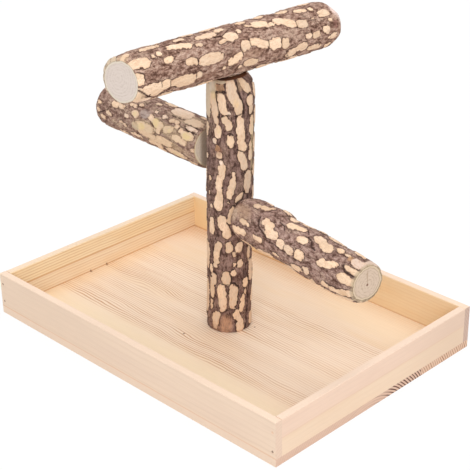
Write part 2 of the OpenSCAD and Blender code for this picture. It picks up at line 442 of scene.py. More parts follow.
@dataclass(frozen=True)
class PineFinish:
    """Bare planed softwood: grain lines on its long faces, rings on its ends.

    Smear is a broad warm tone in the early wood, rim a lighter tone on faces that point up, a painted
    highlight of the light from above, and outer the long edge's tone. The seam is a glue line at seam_height,
    and contact_shadow_share how much of its tone shows just above the tray's floor, as a painted contact
    shadow.
    """

    name: str
    grain: Grain
    early: Tone8
    late: Tone8
    face: Rings
    end: Rings
    end_early: Tone8 = (238, 210, 188)
    end_late: Tone8 = (206, 164, 134)
    smear: Tone8 = (236, 196, 152)
    smear_share: float = 0.25
    rim: Tone8 | None = None
    seam_height: float = 0.0
    seam: Tone8 = (196, 148, 100)
    seam_share: float = 0.0
    seam_half: float = 1.1
    outer: Tone8 | None = None
    specks: tuple[Speck, ...] = ()
    patches: tuple[Patch, ...] = ()
    contact_shadow_share: float = 0.0
    seed_move: float = 0.0
    contact_shadow_band: tuple[float, float] = (6.5, 7.5)
    speck_tone: Tone8 = (120, 72, 44)
    speck_share: float = 0.75

    def _away(self, sketch: NodeSketch, place: Socket, area: Swerve | Patch) -> Socket:
        """Measures from the middle of an area on the board.

        Args:
            sketch: The material's nodes.
            place: Place in millimetres, grain along X.
            area: The area.

        Returns:
            How far each place lies from the middle, in shares of the area's reach.
        """
        (along, across), (long, wide) = area.place, area.reach
        away = sketch.add("ShaderNodeVectorMath", operation="LENGTH")
        move = (-along / long, -across / wide, 0.0)
        sketch.feed(away.inputs[0], sketch.stretch(place, (1 / long, 1 / wide, 0.0), move=move))
        return away.outputs["Value"]

    def _lines(self, sketch: NodeSketch, place: Socket, rings: Rings) -> Socket:
        """Makes grain lines or rings.

        Args:
            sketch: The material's nodes.
            place: Place in millimetres, grain along X.
            rings: Where the rings lie and how strong they are.

        Returns:
            Share of dark late wood.
        """
        slow = sketch.streaks(place, (0.012, 0.03, 0.03), 1.0, move=(self.seed_move, 0, 0))
        quick = sketch.streaks(place, (0.045, 0.09, 0.09), 1.0)
        bend = sketch.centred(slow, 2.0 * rings.wander)
        bend = sketch.calc("ADD", bend, sketch.centred(quick, 1.3 * rings.wander))
        for swerve in rings.swerves:
            away = self._away(sketch, place, swerve)
            bend = sketch.calc("ADD", bend, sketch.step(away, 0.0, 1.6, swerve.shift, 0.0))
        parts = sketch.parts(place)
        across = sketch.calc("ADD", sketch.calc("ADD", parts[1], bend), -rings.pith[0])
        up = sketch.calc("ADD", sketch.calc("ADD", parts[2], bend), -rings.pith[1])
        square = sketch.calc("ADD", sketch.calc("POWER", across, 2.0), sketch.calc("POWER", up, 2.0))
        count = sketch.calc("DIVIDE", sketch.calc("SQRT", square), rings.spacing)
        share = sketch.calc("FRACT", count)
        ring_tone = sketch.add("ShaderNodeTexWhiteNoise", noise_dimensions="1D")
        sketch.feed(ring_tone.inputs["W"], sketch.calc("FLOOR", count))
        rise = sketch.step(share, 0.40, 0.84)
        fall = sketch.step(share, 0.88, 1.0, 1.0, 0.0)
        heavy = sketch.calc("MULTIPLY_ADD", ring_tone.outputs["Value"], 0.5, 0.5)
        line = sketch.calc("MULTIPLY", sketch.calc("MULTIPLY", rise, fall), heavy)
        patchy = sketch.streaks(place, (0.02, 0.06, 0.06), 2.0)
        strength = sketch.step(patchy, 0.3, 0.6, 0.65 * rings.strength, rings.strength)
        line = sketch.calc("MULTIPLY", line, strength)
        if rings.bands:
            low, high = rings.bands[0][0], rings.bands[-1][0]
            reach = sketch.calc("MULTIPLY_ADD", parts[1], 1.0 / (high - low), -low / (high - low))
            stops = tuple(((spot - low) / (high - low), grey_tone(part)) for spot, part in rings.bands)
            line = sketch.calc("MULTIPLY", line, sketch.ramp(reach, stops))
        return line

    def material(self) -> bpy.types.Material:
        """Makes the wood's material.

        Returns:
            The material, read in the frame's own place.
        """
        sketch = NodeSketch(self.name)
        coordinates = sketch.add("ShaderNodeTexCoord").outputs
        place = sketch.stretch(coordinates["Object"], (1 / MM, 1 / MM, 1 / MM), self.grain.value)
        late = self._lines(sketch, place, self.face)
        end_late = self._lines(sketch, place, self.end)
        fibre = sketch.streaks(place, (0.05, 1.6, 1.6), 3.0, 0.6)
        smear = sketch.streaks(place, (0.012, 0.07, 0.07), 3.0, 0.6, move=(self.seed_move, 3.0, 0.0))
        smeared = sketch.calc("MULTIPLY", sketch.step(smear, 0.42, 0.68), self.smear_share)
        colour = sketch.mix(smeared, srgb(self.early), srgb(self.smear))
        colour = sketch.mix(late, colour, srgb(self.late))
        for patch in self.patches:
            away = self._away(sketch, place, patch)
            colour = sketch.mix(sketch.step(away, 0.5, 1.3, patch.share, 0.0), colour, srgb(patch.tone))
        facing = sketch.parts(coordinates["Normal"])
        height = sketch.parts(place)[2]
        # Painted contact shadow: the seam's tone along the board's foot, just above the tray's floor.
        if self.contact_shadow_share:
            foot = sketch.step(height, *self.contact_shadow_band, self.contact_shadow_share, 0.0)
            colour = sketch.mix(foot, colour, srgb(self.seam))
        # Painted highlight: faces that point up take the lighter rim tone.
        if self.rim is not None:
            colour = sketch.mix(sketch.step(facing[2], *FACING), colour, srgb(self.rim))
        if self.seam_share:
            off = sketch.calc("ABSOLUTE", sketch.calc("SUBTRACT", height, self.seam_height))
            ragged = sketch.calc("ADD", off, sketch.centred(smear, 1.1))
            seam = sketch.step(ragged, 0.1, self.seam_half, self.seam_share, 0.0)
            colour = sketch.mix(seam, colour, srgb(self.seam))
        end = sketch.mix(end_late, srgb(self.end_early), srgb(self.end_late))
        axis = 0 if self.grain is Grain.ALONG_X else 1
        if self.outer is not None:
            is_edge = sketch.step(sketch.calc("ABSOLUTE", facing[1 - axis]), *FACING)
            colour = sketch.mix(is_edge, colour, srgb(self.outer))
        is_end = sketch.step(sketch.calc("ABSOLUTE", facing[axis]), *FACING)
        colour = sketch.mix(is_end, colour, end)
        for speck in self.specks:
            away = sketch.distance(coordinates["Object"], speck.place)
            reach = speck.size * MM
            dark = sketch.step(away, 0.3 * reach, reach, self.speck_share, 0.0)
            colour = sketch.mix(dark, colour, srgb(self.speck_tone))
        uneven = sketch.grey(sketch.calc("MULTIPLY_ADD", fibre, 0.12, 0.94))
        colour = sketch.mix(1.0, colour, uneven, "MULTIPLY")
        roughness = sketch.calc("MULTIPLY_ADD", fibre, 0.2, 0.55)
        relief = sketch.calc("ADD", sketch.calc("MULTIPLY", late, 0.5), sketch.calc("MULTIPLY", fibre, 0.5))
        sketch.dull()
        return sketch.finish(colour, roughness, relief, 0.00012)


@dataclass(frozen=True)
class BarkFinish:
    """Rough brown bark whose high places are planed through to smooth tan islands."""

    name: str
    deep: Tone8
    middle: Tone8
    light: Tone8
    worn: Tone8 = (206, 174, 152)
    worn_share: float = 0.55
    line: Tone8 = (66, 44, 38)
    soft: float = 0.14
    ragged: float = 1.3
    tanned_rim: Tone8 = (206, 160, 126)
    cloud: Tone8 = (228, 188, 152)
    vein: Tone8 = (200, 150, 112)
    dot: Tone8 = (186, 140, 104)

    def _rough(
        self, sketch: NodeSketch, place: Socket, edge: Socket, streak: Socket, middle: Socket
    ) -> Socket:
        """Makes the colour of the sunk bark.

        Args:
            sketch: The material's nodes.
            place: Place in the branch's own space, in millimetres.
            edge: Millimetres inside the nearest island.
            streak: Fine streaks along the branch.
            middle: Unevenness of a few millimetres.

        Returns:
            The colour's socket.
        """
        broad = sketch.streaks(place, (0.13, 0.13, 0.08), 2.0, move=(7.0, 0.0, 0.0))
        grain = sketch.noise(place, 1.25, 3.0, 0.65)
        blend = sketch.calc("MULTIPLY", streak, 0.18)
        for part, weight in ((middle, 0.42), (broad, 0.20), (grain, 0.20)):
            blend = sketch.calc("ADD", blend, sketch.calc("MULTIPLY", part, weight))
        rough = sketch.ramp(blend, ((0.43, self.deep), (0.50, self.middle), (0.575, self.light)))
        bare = sketch.streaks(place, (0.15, 0.15, 0.07), 3.0, 0.6, move=(0.0, 5.0, 0.0))
        halo = sketch.calc("MULTIPLY", sketch.step(edge, -2.6, 0.0), 0.12)
        bare = sketch.step(sketch.calc("ADD", bare, halo), 0.50, 0.66)
        bare = sketch.calc("MULTIPLY", bare, sketch.step(sketch.calc("ADD", streak, grain), 0.80, 1.16))
        rough = sketch.mix(sketch.calc("MULTIPLY", bare, self.worn_share), rough, srgb(self.worn))
        flow = sketch.streaks(place, (0.20, 0.20, 0.075), 3.0, 0.55, move=(0.0, 0.0, 9.0))
        fissure = sketch.near(flow, 0.5, 0.018, 0.5)
        fissure = sketch.calc("MULTIPLY", fissure, sketch.step(middle, 0.34, 0.48))
        # Dark line in the moat beside each island: partly the dark gap there, partly painted shadow of the
        # island's raised edge.
        moat_line_and_painted_shadow = sketch.near(edge, -0.5, 0.66, 0.85)
        moat_line_and_painted_shadow = sketch.calc("MULTIPLY", moat_line_and_painted_shadow, sketch.step(sketch.calc("ADD", middle, broad), 0.80, 1.00))
        return sketch.mix(sketch.calc("MAXIMUM", fissure, moat_line_and_painted_shadow), rough, srgb(self.line))

    def _smooth(self, sketch: NodeSketch, place: Socket, edge: Socket, streak: Socket) -> Socket:
        """Makes the colour of the smooth islands.

        Args:
            sketch: The material's nodes.
            place: Place in the branch's own space, in millimetres.
            edge: Millimetres inside the nearest island.
            streak: Fine streaks along the branch.

        Returns:
            The colour's socket.
        """
        tint = sketch.attribute(TINT).outputs["Color"]
        uneven = sketch.grey(sketch.calc("MULTIPLY_ADD", streak, 0.5, 0.75))
        smooth = sketch.mix(1.0, tint, uneven, "MULTIPLY")
        tanned = sketch.step(edge, 0.1, 1.2, 0.36, 0.0)
        smooth = sketch.mix(tanned, smooth, srgb(self.tanned_rim))
        stain = sketch.streaks(place, (0.33, 0.33, 0.16), 3.0, 0.65, move=(3.0, 0.0, 0.0))
        smooth = sketch.mix(sketch.step(stain, 0.50, 0.68, 0.0, 0.45), smooth, srgb(self.cloud))
        veins = sketch.streaks(place, (0.5, 0.5, 0.14), 2.0, move=(0.0, 7.0, 0.0))
        smooth = sketch.mix(sketch.near(veins, 0.5, 0.03, 0.4), smooth, srgb(self.vein))
        dots = sketch.step(sketch.noise(place, 2.1, 1.0), 0.66, 0.76)
        return sketch.mix(sketch.calc("MULTIPLY", dots, 0.4), smooth, srgb(self.dot))

    def material(self) -> bpy.types.Material:
        """Makes the bark's material.

        Returns:
            The material, which reads the branch's own attributes.
        """
        sketch = NodeSketch(self.name)
        place = sketch.attribute(PLACE).outputs["Vector"]
        edge = sketch.attribute(EDGE).outputs["Fac"]
        crack = sketch.attribute(CRACK).outputs["Fac"]
        stain = sketch.attribute(STAIN)
        fine = sketch.noise(place, 0.95, 3.0, 0.62)
        middle = sketch.streaks(place, (0.42, 0.42, 0.26), 3.0, 0.6)
        streak = sketch.streaks(place, (0.95, 0.95, 0.28), 4.0, 0.65)
        uneven = sketch.calc("ADD", fine, middle)
        torn = sketch.calc("MULTIPLY_ADD", uneven, self.ragged, -self.ragged)
        edge = sketch.calc("ADD", edge, torn)
        mask = sketch.step(edge, 0.02 - self.soft, 0.02 + self.soft)
        rough = self._rough(sketch, place, edge, streak, middle)
        smooth = self._smooth(sketch, place, edge, streak)
        colour = sketch.mix(mask, rough, smooth)
        patchy = sketch.step(sketch.calc("ADD", streak, middle), 0.75, 1.15, 0.45, 1.0)
        soaked = sketch.calc("MULTIPLY", stain.outputs["Alpha"], patchy)
        colour = sketch.mix(soaked, colour, stain.outputs["Color"])
        colour = sketch.mix(crack, colour, srgb(self.line))
        roughness = sketch.calc("MULTIPLY_ADD", mask, -0.25, 0.85)
        uneven = sketch.calc("MULTIPLY", sketch.calc("ADD", fine, streak), 0.42)
        uneven = sketch.calc("MULTIPLY", uneven, sketch.calc("MULTIPLY_ADD", mask, -0.85, 1.0))
        height = sketch.calc("ADD", uneven, sketch.calc("MULTIPLY", mask, 0.55))
        height = sketch.calc("SUBTRACT", height, sketch.calc("MULTIPLY", crack, 0.5))
        sketch.dull()
        return sketch.finish(colour, roughness, height, 0.0006)


@dataclass(frozen=True)
class SawnFinish:
    """A sawn branch end: pale rings, a pith dot, a radial check, a cream outer ring and the bark's edge.

    Check is the split's length, and lee the places across the face between which a painted shadow of the post
    sets in.
    """

    name: str
    wood: Tone8
    ring_line: Tone8
    outer: Tone8 = (226, 210, 180)
    outer_width: float = 1.7
    bark_edge: Tone8 = (196, 164, 118)
    bark_width: float = 0.5
    pith: Tone8 = (146, 106, 84)
    pith_share: float = 0.8
    pith_size: float = 0.65
    check: float = 0.0
    centre: tuple[float, float] = (0.0, 0.0)
    ring_share: float = 0.6
    seam_share: float = 0.35
    painted_shadow_span: tuple[float, float] | None = None
    painted_shadow_tone: Tone8 = (118, 92, 74)
    painted_shadow_share: float = 0.62
    check_tone: Tone8 = (166, 134, 108)
    check_share: float = 0.55
    ring_spacing: float = 2.1

    def material(self) -> bpy.types.Material:
        """Makes the sawn end's material.

        Returns:
            The material, which reads the branch's own attributes.
        """
        sketch = NodeSketch(self.name)
        place = sketch.attribute(PLACE).outputs["Vector"]
        from_rim = sketch.attribute(RIM).outputs["Fac"]
        parts = sketch.parts(place)
        off = [sketch.calc("SUBTRACT", part, middle) for part, middle in zip(parts, self.centre)]
        square = [sketch.calc("POWER", part, 2.0) for part in off]
        radius = sketch.calc("SQRT", sketch.calc("ADD", square[0], square[1]))
        drift = sketch.noise(place, 0.10, 1.0)
        count = sketch.calc("DIVIDE", radius, self.ring_spacing)
        count = sketch.calc("ADD", count, sketch.calc("MULTIPLY", drift, 2.4))
        share = sketch.calc("FRACT", count)
        fall = sketch.step(share, 0.88, 1.0, 1.0, 0.0)
        line = sketch.calc("MULTIPLY", sketch.step(share, 0.35, 0.85), fall)
        grain = sketch.streaks(place, (1.2, 0.3, 1.0), 3.0, 0.6)
        line = sketch.calc("MULTIPLY", line, sketch.step(grain, 0.35, 0.6))
        ringed = sketch.calc("MULTIPLY", line, self.ring_share)
        wood = sketch.mix(ringed, srgb(self.wood), srgb(self.ring_line))
        wood = sketch.mix(sketch.step(grain, 0.45, 0.75, 0.0, 0.35), wood, srgb(self.ring_line))
        pith = sketch.step(radius, 0.6 * self.pith_size, 1.4 * self.pith_size, self.pith_share, 0.0)
        wood = sketch.mix(pith, wood, srgb(self.pith))
        if self.check:
            aside = sketch.calc("ADD", off[1], sketch.centred(drift, 0.8))
            wedge = sketch.calc("DIVIDE", aside, sketch.calc("MULTIPLY_ADD", radius, 0.07, 0.3))
            thin = sketch.near(wedge, 0.0, 1.2)
            short = sketch.step(radius, 0.7 * self.check, self.check, 1.0, 0.0)
            inside = sketch.calc("MULTIPLY", sketch.step(off[0], 0.8, 1.4), short)
            split = sketch.calc("MULTIPLY", sketch.calc("MULTIPLY", thin, inside), self.check_share)
            wood = sketch.mix(split, wood, srgb(self.check_tone))
        uneven = sketch.calc("ADD", from_rim, sketch.centred(sketch.noise(place, 0.25, 2.0), 0.8))
        ring = sketch.step(uneven, self.outer_width - 0.5, self.outer_width + 0.2, 1.0, 0.0)
        colour = sketch.mix(ring, wood, srgb(self.outer))
        seam = sketch.near(uneven, self.outer_width, 0.4, self.seam_share)
        colour = sketch.mix(seam, colour, srgb(self.ring_line))
        ragged = sketch.calc("ADD", from_rim, sketch.centred(sketch.noise(place, 0.9, 2.0), 0.3))
        bark = sketch.step(ragged, self.bark_width - 0.2, self.bark_width + 0.1, 0.85, 0.0)
        colour = sketch.mix(bark, colour, srgb(self.bark_edge))
        # Painted shadow: the face darkens towards the post, where the post's shadow falls on it.
        if self.painted_shadow_span is not None:
            shaded = sketch.step(parts[1], *self.painted_shadow_span, 0.0, self.painted_shadow_share)
            colour = sketch.mix(shaded, colour, srgb(self.painted_shadow_tone))
        height = sketch.calc("ADD", sketch.calc("MULTIPLY", grain, 0.5), sketch.calc("MULTIPLY", line, 0.2))
        sketch.dull()
        return sketch.finish(colour, 0.75, height, 0.0002)


@dataclass(frozen=True)
class SteelFinish:
    """Plain drawn or plated steel with faint scratches; one head may be hidden under stopping."""

    name: str
    tone: Tone8
    roughness: float
    metallic: float = 1.0
    stopped: tuple[float, float, float] | None = None
    stopping: Tone8 = (226, 194, 166)

    def material(self) -> bpy.types.Material:
        """Makes the steel's material.

        Returns:
            The material.
        """
        sketch = NodeSketch(self.name)
        place = sketch.add("ShaderNodeTexCoord").outputs["Object"]
        grain = sketch.noise(place, 2500.0, 3.0, 0.6)
        spots = sketch.calc("MULTIPLY", sketch.step(sketch.noise(place, 600.0, 2.0), 0.45, 0.7), 0.5)
        dark = tuple(round(part * 0.72) for part in self.tone)
        colour = sketch.mix(spots, srgb(self.tone), srgb(dark))
        roughness = sketch.calc("MULTIPLY_ADD", grain, 0.25, self.roughness - 0.12)
        if self.stopped is None:
            sketch.shader.inputs["Metallic"].default_value = self.metallic
        else:
            steel = sketch.step(sketch.distance(place, self.stopped), 4.0 * MM, 5.0 * MM)
            colour = sketch.mix(steel, srgb(self.stopping), colour)
            sketch.feed(sketch.shader.inputs["Metallic"], sketch.calc("MULTIPLY", steel, self.metallic))
        return sketch.finish(colour, roughness, grain, 0.00002)


class Ripple:
    """Smooth unevenness without seams: seeded plane waves in a branch's own space."""

    def __init__(self, seed: int, wavelength: float, along: float = 1.0, waves: int = 16) -> None:
        """Draws the waves.

        Args:
            seed: Seed of the draw.
            wavelength: Typical wavelength in millimetres.
            along: How many times longer the waves are along the branch.
            waves: Number of waves.
        """
        draw = np.random.default_rng(seed)
        ways = draw.normal(size=(waves, 3))
        ways /= np.linalg.norm(ways, axis=1, keepdims=True)
        lengths = wavelength * draw.uniform(0.7, 1.5, size=(waves, 1))
        self.ways = ways * (2.0 * math.pi / lengths)
        self.ways[:, 2] /= along
        self.phases = draw.uniform(0.0, 2.0 * math.pi, size=waves)
        self.gain = math.sqrt(2.0 / waves)

    def at(self, place: np.ndarray) -> np.ndarray:
        """Returns the ripple, mostly from -1 to 1, at each place."""
        return np.sin(place @ self.ways.T + self.phases).sum(axis=1) * self.gain * 0.6


@dataclass(frozen=True)
class Wave:
    """A ripple that every branch has: height in millimetres, what it adds to the seed, and its wavelength."""

    height: float
    step: int
    wavelength: float
    along: float = 1.0

    def at(self, skin: np.ndarray, seed: int) -> np.ndarray:
        """Returns the wave's height at each place on the skin of the branch with this seed."""
        return self.height * Ripple(seed + self.step, self.wavelength, self.along).at(skin)


EDGE_WANDER = Wave(0.6, 2, 7.0)
EDGE_NOTCHES = Wave(0.5, 3, 2.8)
CRACK_WANDER = Wave(0.15, 4, 2.5)
NETWORK_MIDDLE = Wave(0.24, 5, 4.5, 1.8)
NETWORK_FINE = Wave(0.16, 6, 1.8, 1.3)
NETWORK_BROAD = Wave(0.34, 9, 9.0, 1.1)
MOAT_CHANGE = Wave(0.5, 7, 9.0)
LUMPS = Wave(0.5, 8, 34.0, 1.6)


@dataclass(frozen=True)
class Spot:
    """A place on a branch's side, and its size.

    Along and length run along the branch from its start and width across it, in millimetres; round is the
    direction round the branch in degrees.
    """

    along: float
    round: float
    length: float
    width: float

    def offsets(
        self, along: np.ndarray, way: np.ndarray, radius: float, turn: float = 0.0
    ) -> tuple[np.ndarray, np.ndarray]:
        """Returns how far each place lies from the spot's middle.

        Args:
            along: Places along the branch in millimetres.
            way: Their directions round it in degrees.
            radius: The branch's radius in millimetres.
            turn: How far the spot's long axis is tipped towards growing round, in degrees.

        Returns:
            Millimetres along the spot's long axis and across it.
        """
        across = degrees_from(way, self.round) * math.pi / 180.0 * radius
        run = along - self.along
        tip = math.radians(turn)
        return run * math.cos(tip) + across * math.sin(tip), across * math.cos(tip) - run * math.sin(tip)


@dataclass(frozen=True)
class Island(Spot):
    """A smooth island in the bark; its corner is 2 for an ellipse and grows towards a rectangle."""

    turn: float = 0.0
    tone: Bare = Bare.TAN
    corner: float = 2.6

    def depth_inside(self, along: np.ndarray, way: np.ndarray, radius: float) -> np.ndarray:
        """Returns how far inside the island's edge each place lies.

        Args:
            along: Places along the branch in millimetres.
            way: Their directions round it in degrees.
            radius: The branch's radius in millimetres.

        Returns:
            Millimetres inside the edge, negative outside.
        """
        long, short = self.offsets(along, way, radius, self.turn)
        power = self.corner
        share = np.abs(long / (self.length / 2)) ** power + np.abs(short / (self.width / 2)) ** power
        share = np.maximum(share ** (1 / power), 1e-4)
        reach = np.hypot(long, short) / share
        from_middle = (1.0 - share) * self.width / 2 + np.minimum(0.0, 1.0 - share) * reach
        return np.minimum((1.0 - share) * reach, from_middle)


@dataclass(frozen=True)
class Scatter:
    """How islands are drawn where the photo shows nothing of a branch, in millimetres and degrees."""

    tries: int = 520
    gap: float = 1.5
    least_length: float = 3.0
    more_length: float = 17.0
    least_width: float = 2.6
    more_width: float = 5.0
    pale_share: float = 0.25
    end_gap: float = 1.0
    tip: float = 14.0

    def island(self, draw: np.random.Generator, reach: float, hidden: tuple[float, float]) -> Island:
        """Draws one island.

        Args:
            draw: The branch's own random numbers.
            reach: The branch's length in millimetres.
            hidden: Directions between which the island's middle may lie.

        Returns:
            The island.
        """
        length = self.least_length + self.more_length * draw.uniform(0.0, 1.0) ** 1.3
        width = min(length, self.least_width + self.more_width * draw.uniform(0.0, 1.0) ** 0.7)
        tone = Bare.PALE if draw.uniform() < self.pale_share else Bare.TAN
        spot = (draw.uniform(self.end_gap, reach - self.end_gap), draw.uniform(*hidden))
        return Island(*spot, length, width, draw.uniform(-self.tip, self.tip), tone)


@dataclass(frozen=True)
class Crack:
    """A thin dark crack in the bark, as a chain of (along, round) places in millimetres and degrees."""

    chain: tuple[tuple[float, float], ...]
    width: float = 0.5

    def distance(self, along: np.ndarray, way: np.ndarray, radius: float) -> np.ndarray:
        """Returns each place's distance from the crack.

        Args:
            along: Places along the branch in millimetres.
            way: Their directions round it in degrees.
            radius: The branch's radius in millimetres.

        Returns:
            Distances in millimetres.
        """
        nearest = np.full(along.shape, 1e3)
        arc = math.pi / 180.0 * radius
        for (along_a, way_a), (along_b, way_b) in zip(self.chain, self.chain[1:]):
            across = degrees_from(way, way_a) * arc
            run_x, run_y = along_b - along_a, (way_b - way_a) * arc
            share = ((along - along_a) * run_x + across * run_y) / (run_x**2 + run_y**2)
            share = np.clip(share, 0.0, 1.0)
            away = np.hypot(along - along_a - share * run_x, across - share * run_y)
            nearest = np.minimum(nearest, away)
        return nearest


@dataclass(frozen=True)
class Stain(Spot):
    """A soft-edged tone over bark and islands alike."""

    turn: float
    tone: Tone8
    share: float

    def strength(self, along: np.ndarray, way: np.ndarray, radius: float) -> np.ndarray:
        """Returns the stain's strength at each place.

        Args:
            along: Places along the branch in millimetres.
            way: Their directions round it in degrees.
            radius: The branch's radius in millimetres.

        Returns:
            Shares from 0 to the stain's own.
        """
        long, short = self.offsets(along, way, radius, self.turn)
        away = np.hypot(long / (self.length / 2), short / (self.width / 2))
        return self.share * (1.0 - smooth_step(away, 0.45, 1.15))


@dataclass(frozen=True)
class Bump(Spot):
    """A broad hill in a branch's side, or a hollow where its height is negative."""

    height: float

    def rise(self, along: np.ndarray, way: np.ndarray, radius: float) -> np.ndarray:
        """Returns the hill's height in millimetres at each place.

        Args:
            along: Places along the branch in millimetres.
            way: Their directions round it in degrees.
            radius: The branch's radius in millimetres.

        Returns:
            Heights, negative in a hollow.
        """
        long, short = self.offsets(along, way, radius)
        away = np.hypot(long / (self.length / 2), short / (self.width / 2))
        return self.height * (1.0 - smooth_step(away, 0.0, 1.3))


@dataclass(frozen=True)
class BranchEnd:
    """How a branch ends.

    Share is the sawn face's radius as a share of the branch's, draw_in the length over which the bark
    narrows to it, and lean how much larger the share is on the side at lean_way, in degrees.
    """

    share: float
    draw_in: float
    finish: SawnFinish
    lean: float = 0.0
    lean_way: float = 0.0


@dataclass
class Branch:
    """A length of branch with its bark on, sawn off at both ends.

    Swell is the thickness at even stations, as shares of the radius. Hidden holds the directions between
    which islands are drawn by seed. Each slant is a saw cut's rise for each millimetre across the face, each
    trim what the cut takes off, and shade a factor on the islands' tones, which on the post is painted shade
    from the top perch above. Pitch is the mesh's spacing. The relief grows over calm_length from calm_share
    of its depth at a saw cut to all of it.
    """

    name: str
    node: str
    body: str
    foot: tuple[float, float, float]
    heading: tuple[float, float, float]
    zero_way: tuple[float, float, float]
    length: float
    radius: float
    swell: tuple[float, ...]
    start: BranchEnd
    far: BranchEnd
    bark: BarkFinish
    islands: tuple[Island, ...]
    cracks: tuple[Crack, ...]
    stains: tuple[Stain, ...]
    hidden: tuple[float, float]
    seed: int
    start_slant: float = 0.0
    far_slant: float = 0.0
    far_slant_way: float = 90.0
    pitch: float = 0.62
    island_grow: float = 0.3
    network_depth: float = 0.55
    lump: float = 0.3
    start_trim: float = 0.0
    far_trim: float = 0.0
    shade: float = 1.0
    bumps: tuple[Bump, ...] = ()
    cap_insets: tuple[float, ...] = (0.9, 1.2, 2.0, 3.0, 4.0)
    first_cuts: int = 6
    scatter: Scatter = Scatter()
    island_slope: tuple[float, float] = (-0.6, 0.3)
    moat_depth: float = 0.3
    moat_place: float = -0.55
    moat_width: float = 0.4
    crack_depth: float = 0.55
    calm_length: float = 2.5
    calm_share: float = 0.35
    smooth_angle: float = 42.0

    def build(self) -> bpy.types.Object:
        """Models the branch, dresses it and puts it in the frame.

        Returns:
            The finished piece.
        """
        piece = self._blank()
        self._carve(piece)
        self._dress(piece)
        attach(piece, self.body)
        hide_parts(self.node)
        log.info("%s: %d faces", self.name, len(piece.data.polygons))
        return piece

    def _select_lengthwise(self, mesh: bpy.types.Mesh) -> None:
        """Selects the edges that run along the blank.

        Args:
            mesh: The blank's mesh, in edit mode.
        """
        bpy.ops.mesh.select_all(action="DESELECT")
        work = bmesh.from_edit_mesh(mesh)
        for edge in work.edges:
            low, high = (vertex.co for vertex in edge.verts)
            if abs(low.z - high.z) > 1e-6:
                edge.select_set(True)
        bmesh.update_edit_mesh(mesh)

    def _select_cap(self, mesh: bpy.types.Mesh, height: float) -> None:
        """Selects the many-sided face at a height of the blank.

        Args:
            mesh: The blank's mesh, in edit mode.
            height: The face's height in metres.
        """
        bpy.ops.mesh.select_all(action="DESELECT")
        work = bmesh.from_edit_mesh(mesh)
        for face in work.faces:
            if len(face.verts) > 4 and abs(face.verts[0].co.z - height) < 1e-6:
                face.select_set(True)
        bmesh.update_edit_mesh(mesh)

    def _blank(self) -> bpy.types.Object:
        """Adds a cylinder of the branch's size, its ends inset towards the pith and its side cut finely."""
        sides = round(2 * math.pi * self.radius / self.pitch)
        height = self.length * MM
        deselect_all()
        bpy.ops.mesh.primitive_cylinder_add(
            vertices=sides,
            radius=self.radius * MM,
            depth=height,
            end_fill_type="NGON",
            location=(0.0, 0.0, height / 2),
        )
        piece = bpy.context.object
        piece.name = self.name
        piece.data.name = self.name
        bpy.ops.object.transform_apply(location=True, rotation=True, scale=True)
        bpy.ops.object.mode_set(mode="EDIT")
        bpy.ops.mesh.select_mode(type="FACE")
        for end in (0.0, height):
            self._select_cap(piece.data, end)
            for thickness in self.cap_insets:
                bpy.ops.mesh.inset(thickness=thickness * MM)
            bpy.ops.mesh.poke()
        bpy.ops.mesh.select_mode(type="EDGE")
        self._select_lengthwise(piece.data)
        bpy.ops.mesh.subdivide(number_cuts=self.first_cuts)
        self._select_lengthwise(piece.data)
        rows = round(self.length / self.pitch / (self.first_cuts + 1))
        bpy.ops.mesh.subdivide(number_cuts=rows - 1)
        bpy.ops.object.mode_set(mode="OBJECT")
        return piece

    def _end_share(
        self, along: np.ndarray, way: np.ndarray, from_start: np.ndarray, from_far: np.ndarray
    ) -> np.ndarray:
        """Returns the branch's thickness as a share of its radius.

        Args:
            along: Places along the branch in millimetres.
            way: Their directions round it in degrees.
            from_start: Their distances from the start's saw cut.
            from_far: Their distances from the far saw cut.

        Returns:
            Shares of the radius.
        """
        run = self.length - self.start.draw_in - self.far.draw_in
        stations = self.start.draw_in + run * np.linspace(0.0, 1.0, len(self.swell))
        share = np.interp(along, stations, self.swell)
        for end, away in ((self.start, from_start), (self.far, from_far)):
            rise = np.clip(away / end.draw_in, 0.0, 1.0)
            least = end.share + end.lean * np.cos(np.radians(way - end.lean_way))
            drawn = least + (share - least) * np.sqrt(1.0 - (1.0 - rise) ** 2)
            share = np.where(away < end.draw_in, drawn, share)
        return share

    def _scattered(self) -> tuple[Island, ...]:
        """Draws islands for the side of the branch that the listed ones leave bare.

        Returns:
            The listed islands and the drawn ones.
        """
        draw = np.random.default_rng(self.seed)
        placed = list(self.islands)
        angles = np.linspace(0.0, 2 * math.pi, 13)[:-1]
        arc = math.pi / 180.0 * self.radius
        for _ in range(self.scatter.tries):
            island = self.scatter.island(draw, self.length, self.hidden)
            long, wide = island.length / 2 + self.scatter.gap, island.width / 2 + self.scatter.gap
            along = np.append(island.along + long * np.cos(angles), island.along)
            way = np.append(island.round + wide * np.sin(angles) / arc, island.round)
            if not any(self._touches(island, other, along, way) for other in placed):
                placed.append(island)
        return tuple(placed)

    def _touches(self, island: Island, other: Island, along: np.ndarray, way: np.ndarray) -> bool:
        """Tells whether a drawn island comes too close to another one.

        Args:
            island: The drawn island.
            other: An island that is already placed.
            along: Places round the drawn island's edge, along the branch in millimetres.
            way: Their directions round it in degrees.

        Returns:
            Whether one of the places lies in the other island.
        """
        arc = math.pi / 180.0 * self.radius
        apart = math.hypot(island.along - other.along, degrees_from(island.round, other.round) * arc)
        if apart >= 1.0 + (island.length + other.length) / 2:
            return False
        return bool(other.depth_inside(along, way, self.radius).max() > 0.0)

